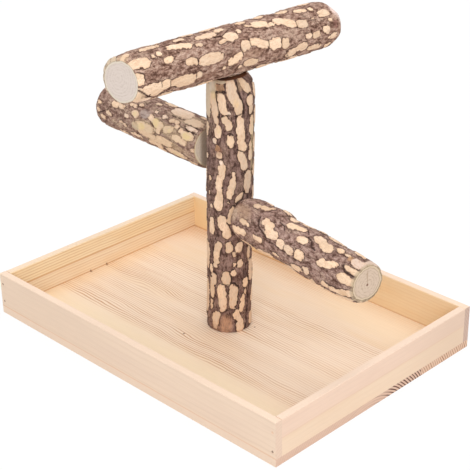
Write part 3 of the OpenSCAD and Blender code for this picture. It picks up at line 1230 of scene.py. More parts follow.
    def _bare_places(self, along: np.ndarray, way: np.ndarray) -> tuple[np.ndarray, np.ndarray]:
        """Returns how far inside an island each place lies, and the island's tone there.

        Args:
            along: Places along the branch in millimetres.
            way: Their directions round it in degrees.

        Returns:
            Millimetres inside the nearest island's edge, and linear tones.
        """
        inside = np.full(along.shape, FAR_OUTSIDE)
        tint = np.zeros((along.size, 4), np.float32)
        tint[:] = srgb(Bare.TAN.value)
        draw = np.random.default_rng(self.seed + 1)
        arc = math.pi / 180.0 * self.radius
        for island in self._scattered():
            # A shade factor below 1 darkens the islands; on the post it is painted shade from the top perch.
            bright = self.shade * draw.uniform(*BRIGHTNESS)
            warm = draw.uniform(0.0, 1.0)
            reach = max(island.length, island.width) / 2 + 4.0
            across = np.abs(degrees_from(way, island.round)) * arc
            near = np.flatnonzero((np.abs(along - island.along) < reach) & (across < reach))
            depth = island.depth_inside(along[near], way[near], self.radius) + self.island_grow
            parts = zip(island.tone.value, WARMTH)
            tone = tuple(min(255.0, (part - fade * warm) * bright) for part, fade in parts)
            over = (depth > inside[near]) | (depth > 0.0)
            inside[near] = np.maximum(depth, inside[near])
            tint[near[over]] = srgb(tone)
        return inside, tint

    def _marks(self, along: np.ndarray, way: np.ndarray, skin: np.ndarray) -> tuple[np.ndarray, np.ndarray]:
        """Returns how strongly each place is cracked and stained.

        Args:
            along: Places along the branch in millimetres.
            way: Their directions round it in degrees.
            skin: The same places in the branch's own space.

        Returns:
            Shares of crack, and stain tones with their shares as alpha.
        """
        crack = np.zeros(along.size)
        stain = np.zeros((along.size, 4), np.float32)
        for line in self.cracks:
            away = line.distance(along, way, self.radius) + CRACK_WANDER.at(skin, self.seed)
            crack = np.maximum(crack, 1.0 - smooth_step(away, 0.25 * line.width, 0.95 * line.width))
        for spot in self.stains:
            strength = spot.strength(along, way, self.radius)
            stronger = strength > stain[:, 3]
            stain[stronger, :3] = srgb(spot.tone)[:3]
            stain[:, 3] = np.maximum(stain[:, 3], strength)
        return crack, stain

    def _sunk(self, skin: np.ndarray, inside: np.ndarray, crack: np.ndarray) -> np.ndarray:
        """Returns how deep the bark lies at each place: a rough network, deepest in a moat round each island.

        Args:
            skin: Places in the branch's own space.
            inside: Millimetres inside the nearest island.
            crack: Shares of crack.

        Returns:
            Depths in millimetres.
        """
        network = self.network_depth + NETWORK_MIDDLE.at(skin, self.seed)
        network += NETWORK_FINE.at(skin, self.seed) + NETWORK_BROAD.at(skin, self.seed)
        moat = np.exp(-(((inside - self.moat_place) / self.moat_width) ** 2))
        moat = moat * (0.5 + MOAT_CHANGE.at(skin, self.seed))
        network += self.moat_depth * np.clip(moat, 0.0, 1.0)
        sunk = (1.0 - smooth_step(inside, *self.island_slope)) * network
        return np.maximum(sunk, 0.0) + self.crack_depth * crack

    def _carve(self, piece: bpy.types.Object) -> None:
        """Shapes the blank: swelling, drawn-in ends, sunk bark between the islands, cracks.

        Args:
            piece: The blank, which becomes the branch.
        """
        mesh = piece.data
        count = len(mesh.vertices)
        flat = np.zeros(count * 3, np.float32)
        mesh.vertices.foreach_get("co", flat)
        place = flat.reshape(-1, 3).astype(float) / MM
        share = np.hypot(place[:, 0], place[:, 1]) / self.radius
        way = np.degrees(np.arctan2(place[:, 1], place[:, 0]))
        east = np.sin(np.radians(way)) * self.radius
        low = self.start_trim + self.start_slant * (self.radius + share * self.start.share * east)
        tall = np.cos(np.radians(way - self.far_slant_way)) * self.radius
        high = self.length - self.far_trim + self.far_slant * share * self.far.share * tall
        height = place[:, 2]
        along = low + height * (high - low) / self.length
        from_start = height * (high - low) / self.length
        from_far = (self.length - height) * (high - low) / self.length
        turn = np.radians(way)
        skin = np.stack([self.radius * np.cos(turn), self.radius * np.sin(turn), along], axis=1)
        inside, tint = self._bare_places(along, way)
        inside += EDGE_WANDER.at(skin, self.seed) + EDGE_NOTCHES.at(skin, self.seed)
        inside = np.clip(inside, -EDGE_REACH, EDGE_REACH)
        crack, stain = self._marks(along, way, skin)
        near_end = smooth_step(np.minimum(from_start, from_far), 0.0, self.calm_length)
        sunk = self._sunk(skin, inside, crack) * (self.calm_share + (1 - self.calm_share) * near_end)
        lump = self.lump * (0.5 + LUMPS.at(skin, self.seed))
        sunk = sunk + np.clip(lump, 0.0, self.lump)
        thick = self.radius * self._end_share(along, way, from_start, from_far) - sunk
        for bump in self.bumps:
            thick += bump.rise(along, way, self.radius)
        place = np.stack([share * thick * np.cos(turn), share * thick * np.sin(turn), along], axis=1)
        for name, values in ((EDGE, inside), (CRACK, crack), (RIM, (1.0 - share) * thick)):
            layer = mesh.attributes.new(name, "FLOAT", "POINT")
            layer.data.foreach_set("value", values.astype(np.float32))
        for name, tones in ((TINT, tint), (STAIN, stain)):
            layer = mesh.attributes.new(name, "FLOAT_COLOR", "POINT")
            layer.data.foreach_set("color", tones.ravel())
        layer = mesh.attributes.new(PLACE, "FLOAT_VECTOR", "POINT")
        layer.data.foreach_set("vector", place.astype(np.float32).ravel())
        world = self._seated(self._in_frame(place))
        mesh.vertices.foreach_set("co", (world * MM).astype(np.float32).ravel())
        mesh.update()

    def _in_frame(self, place: np.ndarray) -> np.ndarray:
        """Returns places of the branch's own space in the frame, in millimetres.

        Args:
            place: Places with the branch's direction zero, its cross direction and its length as axes.

        Returns:
            Places in the frame.
        """
        heading = Vector(self.heading).normalized()
        zero = Vector(self.zero_way)
        zero = (zero - heading * zero.dot(heading)).normalized()
        axes = np.array([zero, heading.cross(zero), heading])
        return place @ axes + np.array(self.foot)

    def _seated(self, world: np.ndarray) -> np.ndarray:
        """Returns the frame's places after any flat seat is cut; a plain branch has none."""
        return world

    def _dress(self, piece: bpy.types.Object) -> None:
        """Gives bark to the side and a sawn finish to each end, and smooths the shading.

        Args:
            piece: The carved branch.
        """
        mesh = piece.data
        for finish in (self.bark, self.start.finish, self.far.finish):
            mesh.materials.append(finish.material())
        rim = np.zeros(len(mesh.vertices), np.float32)
        mesh.attributes[RIM].data.foreach_get("value", rim)
        place = np.zeros(len(mesh.vertices) * 3, np.float32)
        mesh.attributes[PLACE].data.foreach_get("vector", place)
        along = place.reshape(-1, 3)[:, 2]
        corner = np.zeros(len(mesh.loops), np.int32)
        mesh.loops.foreach_get("vertex_index", corner)
        first = np.zeros(len(mesh.polygons), np.int32)
        mesh.polygons.foreach_get("loop_start", first)
        on_end = np.maximum.reduceat(rim[corner], first) > 1e-3
        at_far = along[corner[first]] > self.length / 2
        slots = np.where(on_end, np.where(at_far, 2, 1), 0)
        mesh.polygons.foreach_set("material_index", slots.astype(np.int32))
        deselect_all()
        piece.select_set(True)
        bpy.context.view_layer.objects.active = piece
        bpy.ops.object.shade_smooth_by_angle(angle=math.radians(self.smooth_angle))


@dataclass
class Post(Branch):
    """The upright branch: leans a little, sawn level, one shoulder worn at its top. Angles are in degrees."""

    lean: float = 1.3
    lean_way: float = 45.0
    shoulder_depth: float = 5.6
    shoulder_fall: float = 4.2
    shoulder_way: float = 22.0
    shoulder_span: tuple[float, float] = (35.0, 102.0)

    def _in_frame(self, place: np.ndarray) -> np.ndarray:
        """Puts the post in the frame as level rings whose centres follow the lean.

        Args:
            place: Places in the post's own space, in millimetres.

        Returns:
            Places in the frame.
        """
        world = place.copy()
        way = np.degrees(np.arctan2(place[:, 1], place[:, 0]))
        off = np.abs(degrees_from(way, self.shoulder_way))
        worn = self.shoulder_depth * np.exp(-(self.length - place[:, 2]) / self.shoulder_fall)
        keep = 1.0 - worn * (1.0 - smooth_step(off, *self.shoulder_span)) / self.radius
        world[:, 0] *= keep
        world[:, 1] *= keep
        shift = place[:, 2] * math.tan(math.radians(self.lean))
        world[:, 0] += shift * math.cos(math.radians(self.lean_way))
        world[:, 1] += shift * math.sin(math.radians(self.lean_way))
        return world + np.array(self.foot)


@dataclass
class TopPerch(Branch):
    """The branch across the post, with a level seat cut in its underside."""

    seat_level: float = 209.4
    seat_reach: float = 18.7
    seat_centre: tuple[float, float] = (3.2639, 3.2639)

    def _seated(self, world: np.ndarray) -> np.ndarray:
        """Cuts the level seat over the post's top.

        Args:
            world: Places in the frame, in millimetres.

        Returns:
            The places, those under the seat lifted to its level.
        """
        away = np.hypot(world[:, 0] - self.seat_centre[0], world[:, 1] - self.seat_centre[1])
        low = (away < self.seat_reach) & (world[:, 2] < self.seat_level)
        world[low, 2] = self.seat_level
        return world


TOP_FACE = SawnFinish(
    "top_perch_front_face", wood=(216, 202, 192), ring_line=(194, 178, 166), outer=(218, 206, 190),
    outer_width=1.7, bark_edge=(166, 144, 112), bark_width=0.35, pith_share=0.1, centre=(1.4, -1.0),
    ring_share=0.5,
)
# Dark brown sawn face: the post top's own stain together with painted shade of the gap under the top perch's
# seat.
POST_FACE_STAIN_AND_PAINTED_SHADE = SawnFinish(
    "post_face_stain_and_painted_shade", wood=(112, 68, 44), ring_line=(78, 44, 30), outer=(128, 84, 56), outer_width=1.2,
    bark_edge=(96, 60, 42), pith_share=0.3,
)
LEFT_FACE = SawnFinish(
    "left_perch_face", wood=(224, 210, 193), ring_line=(202, 184, 162), outer=(229, 215, 190), outer_width=2.0
)
LEFT_INNER_FACE = SawnFinish(
    "left_inner_face", wood=(224, 208, 190), ring_line=(200, 181, 158), outer=(229, 214, 188),
    outer_width=2.0, painted_shadow_span=(-12.4, -9.0),
)
RIGHT_FACE = SawnFinish(
    "right_perch_face", wood=(214, 191, 170), ring_line=(182, 156, 132), outer=(214, 192, 165),
    outer_width=1.9, bark_edge=(142, 120, 90), bark_width=0.45, pith=(112, 72, 54), pith_share=0.9,
    pith_size=0.85, check=12.0, seam_share=0.8,
)

POST_BARK = BarkFinish(
    "post_bark", deep=(70, 47, 40), middle=(118, 90, 81), light=(154, 124, 113), worn=(190, 158, 134),
    worn_share=0.34, line=(46, 29, 25),
)
TOP_BARK = BarkFinish(
    "top_perch_bark", deep=(88, 58, 46), middle=(158, 122, 105), light=(205, 173, 155),
    worn=(224, 194, 172), worn_share=0.55, line=(70, 44, 35),
)
LEFT_BARK = BarkFinish(
    "left_perch_bark", deep=(98, 70, 60), middle=(150, 118, 104), light=(190, 160, 144),
    worn=(222, 198, 168), worn_share=0.5, soft=0.6, ragged=2.0,
)
RIGHT_BARK = BarkFinish(
    "right_perch_bark", deep=(90, 62, 52), middle=(150, 118, 106), light=(191, 160, 147),
    worn=(218, 190, 168), worn_share=0.48, line=(60, 38, 33),
)

POST_ISLANDS = (
    Island(10.0, -82, 15, 6.0, 0), Island(13.0, -76, 9, 4.0, 15), Island(30.4, -63.5, 24, 6.6),
    Island(27.0, -59, 12, 5.0), Island(36.0, -68, 12, 5.0), Island(47.5, -52.5, 11.5, 7.2),
    Island(32.0, -34.5, 22, 7.2), Island(6.0, -16, 12, 6.5, -5), Island(15.5, -26, 9, 5.5, -15),
    Island(11.0, -20, 10, 5.0, -20), Island(24.3, -10.5, 16, 4.4, 6), Island(41.2, 0, 8.5, 5.4),
    Island(34.5, -0.5, 6, 2.4), Island(52.3, -35.5, 5, 3.8), Island(59.3, -18.5, 6.6, 5.2),
    Island(59.0, -32, 3.5, 2.6), Island(73.2, -21, 8.6, 6.2), Island(73.5, -46, 9, 6.0),
    Island(67.7, -35, 4.6, 3.0, -35), Island(70.5, -77.5, 14, 6.4, 14), Island(57.5, -82.5, 4, 4.0),
    Island(61.3, -79.5, 6.6, 5.6), Island(66.0, -80, 6, 5.5), Island(86.5, -54, 11, 6.4, -10),
    Island(94.2, -66, 11, 7.4), Island(90.0, -60, 8, 6.0), Island(100.4, -41, 14, 5.4, 15),
    Island(109.2, -74.5, 13, 7.6, 8), Island(120.0, -71.5, 12, 4.6), Island(123.3, -74.5, 8, 5.4),
    Island(128.0, -72.5, 8, 4.8), Island(134.6, -65, 11, 5.4, 8), Island(136.7, -72, 4.5, 2.2),
    Island(115.0, -71, 8, 4.6), Island(142.0, -67, 3.4, 3.0, 0, Bare.PALE), Island(147.2, -72.3, 4.8, 4.4),
    Island(152.5, -77, 5, 3.8, 0, Bare.BROWN), Island(157.5, -85, 4, 3.8, 0, Bare.PALE),
    Island(165.2, -77.5, 10, 5.8), Island(180.5, -86.5, 21, 6.2, -10), Island(190.5, -97, 12, 6.0, -10),
    Island(170.8, -50.5, 8.6, 5.0, -10), Island(174.6, -60, 5.4, 4.6),
    Island(179.6, -50, 2.6, 2.0, 0, Bare.PALE), Island(186.8, -66.6, 16, 6.4, -13, Bare.TAN, 4.0),
    Island(198.5, -95, 11, 8.0, 0, Bare.GREIGE), Island(202.6, -76, 2.6, 11, 0, Bare.GREIGE),
    Island(198.0, -71.5, 5.6, 6.2, -13, Bare.BROWN, 8.0), Island(158.8, -45.6, 11, 5.0),
    Island(164.6, -20, 29, 6.2, -2), Island(152.5, -11, 8, 4.2), Island(170.0, -23, 14, 6.0),
    Island(142.0, -14, 18, 6.2, -17), Island(125.0, 1.5, 17.5, 7.4), Island(114.0, -22, 9.6, 4.0, 42),
    Island(121.8, -42, 17, 5.0, 12), Island(117.0, -46.5, 8, 4.4), Island(127.0, -39, 8, 4.2),
    Island(131.2, -37.5, 6, 2.6), Island(110.8, -48.3, 3, 2.2), Island(183.8, -25.5, 12, 6.6, -12),
    Island(189.5, -34.5, 13, 7.4, -20), Island(197.0, -44.5, 17, 7.6, -8),
    Island(198.7, -4.3, 15, 6.2, -35), Island(187.3, 8, 8.6, 7.0), Island(179.8, 11.3, 6.6, 4.6),
    Island(167.5, 14.6, 17, 5.0), Island(145.8, 10.5, 9, 4.6), Island(153.3, 11, 9, 3.0),
    Island(28.0, -119, 30, 7.0), Island(63.0, -116, 23, 7.0), Island(22.5, -96, 9, 2.8),
    Island(38.5, -93.5, 20, 4.8), Island(45.0, -87, 10, 5.6), Island(53.3, -97, 7, 3.2),
    Island(88.7, -96, 14, 5.6), Island(127.0, -103, 3.6, 3.0), Island(115.0, -105, 3.4, 2.2),
    Island(105.0, -97, 2.8, 2.2), Island(143.0, -118, 3.4, 2.6), Island(165.0, -121, 14, 5.5),
    Island(186.0, -116, 26, 9.0, 0, Bare.GREIGE), Island(50.0, 23, 20, 6.6), Island(65.0, 11.3, 12, 3.4),
    Island(8.0, 26, 11, 6.5), Island(27.0, 34, 11, 4.5), Island(74.0, 30, 13, 5.0),
    Island(95.0, 22, 15, 5.0), Island(112.0, 30, 12, 4.4), Island(133.0, 31, 13, 5.0),
    Island(153.0, 33, 15, 5.0), Island(174.0, 34, 14, 5.5), Island(193.0, 32, 11, 5.0),
)
POST_CRACKS = (
    Crack(((131.7, -16), (134.6, 3))), Crack(((151.9, -30), (149.0, -10))),
    Crack(((177.4, -34), (179.4, -10))), Crack(((177.0, -66), (178.6, -48)), 0.6),
    Crack(((194.0, -84), (195.2, -60)), 0.7),
    Crack(((42.3, -66), (42.0, -44), (46.5, -39), (53.0, -46)), 0.6),
    Crack(((21.0, -30), (27.0, -22), (40.0, -21), (43.0, -34))),
    Crack(((2.0, 3), (16.0, 7), (28.0, 13), (40.0, 16)), 1.1),
    Crack(((40.0, 16), (50.0, 4), (58.0, 0)), 0.6),
    Crack(((103.5, -31), (110.0, -27), (112.5, -12), (117.0, -10)), 0.9),
    Crack(((191.6, -2), (192.4, 12)), 0.5),
    Crack(((178.0, -12), (186.0, -14), (195.0, -26), (204.0, -31)), 0.8),
    Crack(((56.0, -93), (64.0, -92), (74.0, -93), (84.0, -78)), 0.6),
    Crack(((176.5, -74), (183.0, -77), (190.0, -82), (194.5, -85)), 0.55),
    Crack(((195.2, -83), (196.2, -64)), 0.6),
)
TOP_ISLANDS = (
    Island(11.0, 41, 20, 7.4), Island(15.0, 49, 9, 5.0), Island(24.6, 36, 3.4, 3.0),
    Island(30.8, 32.5, 4.4, 3.2), Island(36.0, 52, 8, 5.2), Island(50.0, 27.5, 22.5, 5.0, 8),
    Island(44.0, 22.5, 9, 4.0), Island(56.0, 32, 9, 5.0), Island(66.3, 37, 5.6, 2.8, 6),
    Island(78.0, 17.5, 19.5, 6.0), Island(91.7, 9, 8.6, 4.6), Island(8.0, 78, 7.2, 8.5),
    Island(7.0, 69, 5, 4.0), Island(19.5, 108, 21, 9.5), Island(23.0, 120, 13, 6.5, 10),
    Island(30.4, 106, 9, 8.2), Island(46.0, 108, 23, 8.0), Island(49.0, 116, 16, 6.0),
    Island(60.0, 105, 5.6, 5.6), Island(54.3, 70, 11, 5.4, 8), Island(71.8, 75.5, 23, 8.0),
    Island(88.0, 43.5, 9, 3.0, -10), Island(96.0, 37.5, 12, 7.2), Island(95.0, 92, 15.5, 6.6, -15),
    Island(105.5, 66, 9, 7.4), Island(103.2, 75, 4, 3.4), Island(115.5, 65, 11, 5.6, 8),
    Island(121.5, 74, 13, 6.4, 22), Island(134.3, 82, 13, 8.8), Island(144.6, 87, 7.6, 8.2),
    Island(111.0, 111, 15, 6.2, 4), Island(117.6, 20.5, 5, 2.6, 15), Island(127.0, 24.5, 14.5, 6.6, 6),
    Island(137.7, 35, 5, 3.4), Island(132.7, 37.5, 2.4, 1.8), Island(145.5, 32.5, 11, 6.6, 10),
    Island(153.2, 43, 13.5, 7.0, 24), Island(165.3, 53.5, 10.6, 6.8, 8), Island(191.5, 41, 13, 6.2),
    Island(173.0, 18.5, 13, 4.4, 8), Island(182.5, 21.5, 4.6, 3.8), Island(177.7, 49, 2.8, 2.2),
    Island(169.8, 85.5, 6, 3.8), Island(177.8, 87, 8, 5.2, -10), Island(188.8, 81, 7, 4.6),
    Island(190.4, 89, 4, 3.4), Island(197.0, 103, 10, 4.8), Island(153.5, 118, 10.5, 8.2),
    Island(163.5, 109, 12, 7.4), Island(178.5, 122, 15.5, 5.4, 5), Island(105.8, 29.5, 4.6, 3.2),
    Island(115.0, 2.5, 9, 4.0), Island(157.0, 2, 13, 5.0), Island(135.0, -4, 10, 4.4),
    Island(28.5, 6, 16, 4.6), Island(6.0, 8, 10, 4.6, -15), Island(55.5, 6, 10, 3.4),
    Island(35.0, 141, 13, 4.6), Island(128.0, 141, 14, 4.6), Island(12.5, 137, 19, 5.4, 14, Bare.PALE),
    Island(7.5, 107, 6, 5.6), Island(7.0, 120, 8, 5.0, 20), Island(84.0, 106, 3.4, 2.6),
    Island(100.5, 116, 3.2, 2.4), Island(195.0, 62, 4, 2.6), Island(186.0, -12, 12, 4.6),
    Island(88.0, -14, 15, 4.6), Island(66.0, -12, 14, 4.4), Island(196.0, 132, 9, 5.0),
    Island(160.0, 143, 10, 3.6), Island(72.0, 145, 14, 4.0),
)
TOP_CRACKS = (
    Crack(((59.9, 64), (59.3, 81))),
    Crack(
        (
            (7.0, 103), (13.0, 117), (18.0, 131), (25.0, 135), (29.5, 122), (35.0, 117), (38.5, 119),
            (43.0, 127),
        ),
        1.1,
    ),
    Crack(((25.2, 91), (27.3, 110))), Crack(((33.0, 91), (35.0, 113))), Crack(((57.0, 94), (58.4, 116))),
    Crack(((59.4, 86), (61.8, 97)), 0.6), Crack(((110.4, 52), (110.2, 75))),
    Crack(((128.0, 69), (127.6, 94)), 0.6), Crack(((140.9, 70), (140.6, 102)), 0.4),
    Crack(((159.8, 43), (159.4, 62))), Crack(((173.0, 75), (173.5, 92)), 0.6),
    Crack(((100.4, 70), (102.6, 88)), 0.7), Crack(((82.0, 27), (90.0, 29), (96.0, 22), (100.0, 15)), 0.6),
    Crack(((147.4, 108), (149.0, 122), (152.0, 129)), 0.6), Crack(((8.5, 62), (12.0, 68), (13.0, 84)), 0.8),
    Crack(((46.0, 13), (56.0, 15), (62.0, 22)), 0.6), Crack(((169.5, 104), (171.0, 120)), 0.6),
)
LEFT_ISLANDS = (
    Island(13.0, -59, 15, 6.0), Island(16.0, -77, 9, 4.4), Island(23.5, -75, 11, 5.4),
    Island(21.5, -53, 5, 3.6), Island(13.0, -38.5, 15, 3.4, 0, Bare.PALE), Island(15.0, -21.5, 21, 7.4, -2),
    Island(34.0, -4, 24, 11.5, 4, Bare.PALE), Island(27.0, -47, 5.4, 4.0), Island(29.0, -39.5, 6, 3.2, 20),
    Island(35.6, -38.5, 5.6, 3.8), Island(44.6, -37, 6, 4.2, 0, Bare.PALE),
    Island(55.6, -33, 3.4, 2.6, 0, Bare.PALE), Island(35.0, -63.5, 11, 6.0, -20),
    Island(45.5, -77, 4.6, 3.2), Island(49.0, -60, 15, 6.6, 10), Island(57.5, -52, 6, 4.0),
    Island(62.0, -82, 25, 8.0, -4), Island(73.0, -88, 8, 6.0, 0, Bare.GREIGE),
    Island(40.0, -97, 25, 6.8, -4), Island(58.0, -98, 22, 5.0), Island(25.0, -117, 24, 5.6),
    Island(50.0, -115, 18, 5.4), Island(76.0, -60, 8.8, 5.6), Island(85.2, -72.5, 5.2, 3.2, 0, Bare.PALE),
    Island(86.5, -98.5, 4.4, 3.0), Island(91.5, -94, 4.2, 3.0), Island(108.0, -85, 8.0, 3.6, 8),
    Island(101.8, -57.5, 8.4, 4.4), Island(93.5, -56, 7.6, 3.6), Island(79.5, -41, 5, 2.6),
    Island(121.0, -68, 4, 3.0), Island(121.3, -87, 3.6, 3.0), Island(115.5, -102, 6.5, 4.6),
    Island(4.5, -87, 3.6, 3.2), Island(74.0, -116, 14, 3.8), Island(61.5, -8, 5.4, 3.0),
    Island(75.0, -33, 4, 2.8), Island(85.0, -40, 6, 3.0), Island(55.0, 14, 14, 6.0),
    Island(82.0, 2, 13, 5.2), Island(101.0, -12, 12, 4.6), Island(97.0, 18, 12, 5.0),
    Island(116.0, 6, 9, 4.4), Island(12.0, 12, 13, 5.6), Island(113.0, -28, 7, 3.6),
    Island(8.0, -130, 9, 4.0), Island(92.0, -128, 12, 4.0), Island(47.0, -131, 12, 4.4),
)
LEFT_CRACKS = (
    Crack(((113.5, -85), (122.0, -97)), 0.8), Crack(((51.0, -72), (54.0, -66), (57.0, -62)), 0.6),
    Crack(((5.0, -46), (14.0, -47), (20.0, -43)), 0.5), Crack(((4.0, -33), (14.0, -32), (21.0, -32)), 0.5),
    Crack(((21.0, -14), (26.0, -23), (34.0, -26), (40.0, -24)), 0.5),
)
RIGHT_ISLANDS = (
    Island(15.0, 95, 17, 6.2, -5), Island(12.0, 100, 9, 4.4), Island(18.5, 66, 7.2, 4.0),
    Island(24.3, 67.5, 3.6, 2.6), Island(19.7, 11.5, 7.6, 4.8), Island(27.3, 4.5, 9.2, 5.0),
    Island(31.8, -7.5, 3.6, 2.8), Island(41.5, 40.5, 13, 6.2, 8), Island(49.0, 58, 13.5, 7.4),
    Island(45.0, 50, 9, 6.0, 30), Island(60.0, 11, 11, 6.0), Island(66.5, 6.5, 13, 4.6, -6),
    Island(78.0, 33.5, 11.6, 5.6, -5), Island(90.0, 9.5, 13.5, 6.8, 10), Island(98.5, 18, 14.5, 7.4, 12),
    Island(109.8, 7.5, 7.4, 4.4, 14), Island(118.0, 9.5, 5.2, 2.6),
    Island(129.5, 14, 12.5, 8.4, 0, Bare.ROSE), Island(133.0, -20, 6, 12, 0, Bare.ROSE),
    Island(130.0, 38.5, 14, 4.8), Island(128.5, 67, 16, 7.2), Island(107.5, 56.5, 15, 5.8, -10),
    Island(114.5, 48, 8, 4.4, -10), Island(103.0, 63, 7, 3.6), Island(60.5, 70, 8.0, 6.8),
    Island(70.0, 73, 11.5, 5.8), Island(82.0, 70.5, 10.6, 7.2), Island(37.0, 87, 9.6, 4.4),
    Island(80.0, 108, 14, 5.4, -8), Island(90.5, 99, 6.6, 6.4, -20), Island(55.5, 109, 6, 2.8),
    Island(109.0, 110, 7.6, 4.4), Island(121.0, 112, 16, 5.6, -10), Island(130.0, 104, 11, 6.6, -15),
    Island(94.0, 129, 10, 4.8, -15), Island(126.0, 129, 17, 5.6, -8), Island(52.5, -16, 9.5, 5.8),
    Island(66.0, -27, 12, 5.0), Island(96.0, -26, 17, 5.6), Island(120.0, -22, 12, 4.8),
    Island(40.0, -27, 9, 4.0), Island(22.0, -28, 10, 4.2), Island(70.0, 131, 15, 4.8),
    Island(42.0, 126, 16, 5.0), Island(20.0, 128, 12, 4.6), Island(80.0, -30, 8, 3.6),
)
RIGHT_CRACKS = (
    Crack(((30.5, 33), (31.5, 44), (35.0, 57), (40.0, 66), (45.0, 75)), 1.0),
    Crack(((48.0, 18), (54.0, 22), (57.0, 34)), 0.6),
    Crack(((80.0, 20), (85.0, 24), (88.5, 38), (93.0, 41)), 0.9),
    Crack(((121.0, 36), (124.5, 50), (134.0, 51)), 0.9),
    Crack(((113.0, 124), (122.0, 123), (133.0, 117)), 0.8), Crack(((76.4, 60), (77.0, 79)), 0.5),
    Crack(((64.4, 62), (64.6, 78)), 0.5), Crack(((46.0, 80), (58.0, 84), (70.0, 88), (84.0, 84)), 0.5),
    Crack(((68.0, -12), (78.0, 12)), 0.5),
)


POST_STAINS = (
    Stain(7.0, -53, 20, 12, 0, (198, 152, 120), 0.75), Stain(188.0, -114, 36, 10, 0, (214, 192, 166), 0.75),
    Stain(199.0, -102, 12, 10, 0, (220, 204, 186), 0.7), Stain(192.0, -92, 8, 5, 0, (222, 196, 146), 0.6),
    Stain(187.0, -32, 9, 5, -20, (232, 196, 146), 0.6), Stain(166.0, -76, 6, 4, 0, (226, 198, 146), 0.5),
    Stain(3.0, -80, 8, 14, 0, (170, 130, 104), 0.6), Stain(150.0, -73, 9, 6, 0, (150, 108, 86), 0.6),
    Stain(150.0, 18, 60, 5, 0, (206, 184, 140), 0.5), Stain(199.5, -20, 10, 7, 10, (214, 178, 142), 0.6),
    Stain(190.0, -84, 10, 4, 0, (214, 184, 140), 0.4),
)
TOP_STAINS = (
    Stain(4.0, 5, 12, 16, 0, (226, 194, 160), 0.7), Stain(9.0, 125, 16, 12, 20, (228, 196, 162), 0.75),
    Stain(70.0, 118, 26, 8, 0, (140, 100, 80), 0.5), Stain(150.0, 66, 20, 6, 0, (196, 164, 142), 0.4),
    Stain(200.5, 76, 6, 10, 0, (136, 88, 80), 0.6), Stain(112.0, 92, 22, 9, 0, (190, 152, 126), 0.45),
    Stain(107.0, 147, 40, 3.0, 0, (250, 222, 206), 0.9), Stain(204.6, 45, 5, 20, -9, (242, 218, 208), 0.95),
    Stain(3.0, -60, 8, 60, 0, (206, 190, 166), 0.8),
)
LEFT_STAINS = (
    Stain(30.0, -68, 44, 12, 8, (220, 192, 154), 0.5), Stain(62.0, -80, 34, 12, 0, (220, 194, 156), 0.5),
    Stain(13.0, -60, 14, 7, 0, (230, 204, 146), 0.8), Stain(50.0, -60, 11, 9, 20, (230, 204, 146), 0.75),
    Stain(65.5, -82, 13, 8, -15, (230, 204, 146), 0.75), Stain(76.0, -60, 6, 5, 0, (230, 204, 150), 0.6),
    Stain(33.0, -64, 7, 5, 0, (228, 202, 152), 0.6), Stain(24.0, -118, 16, 6, 0, (226, 202, 150), 0.6),
    Stain(54.0, -67, 6, 5, 40, (130, 98, 80), 0.7), Stain(19.0, -87, 14, 4, 0, (122, 92, 86), 0.6),
    Stain(34.0, -98, 60, 9, 0, (206, 176, 140), 0.55), Stain(24.0, -16, 50, 14, 0, (216, 188, 158), 0.55),
    Stain(66.0, -50, 13, 9, 0, (184, 166, 158), 0.8), Stain(100.0, -30, 34, 12, 0, (150, 118, 108), 0.4),
    Stain(50.0, -100, 40, 10, 0, (214, 184, 150), 0.5),
)
RIGHT_STAINS = (
    Stain(12.0, 44, 24, 14, 8, (190, 156, 128), 0.7), Stain(5.0, 60, 12, 14, 0, (216, 186, 158), 0.7),
    Stain(121.5, 12, 5, 7, 0, (204, 156, 112), 0.75), Stain(30.0, 95, 24, 6, 0, (168, 128, 106), 0.4),
    Stain(128.0, 110, 12, 8, 0, (214, 176, 136), 0.6), Stain(133.0, -34, 12, 18, 0, (220, 194, 176), 0.8),
    Stain(135.0, 0, 3.2, 400, 0, (178, 158, 130), 0.8),
)


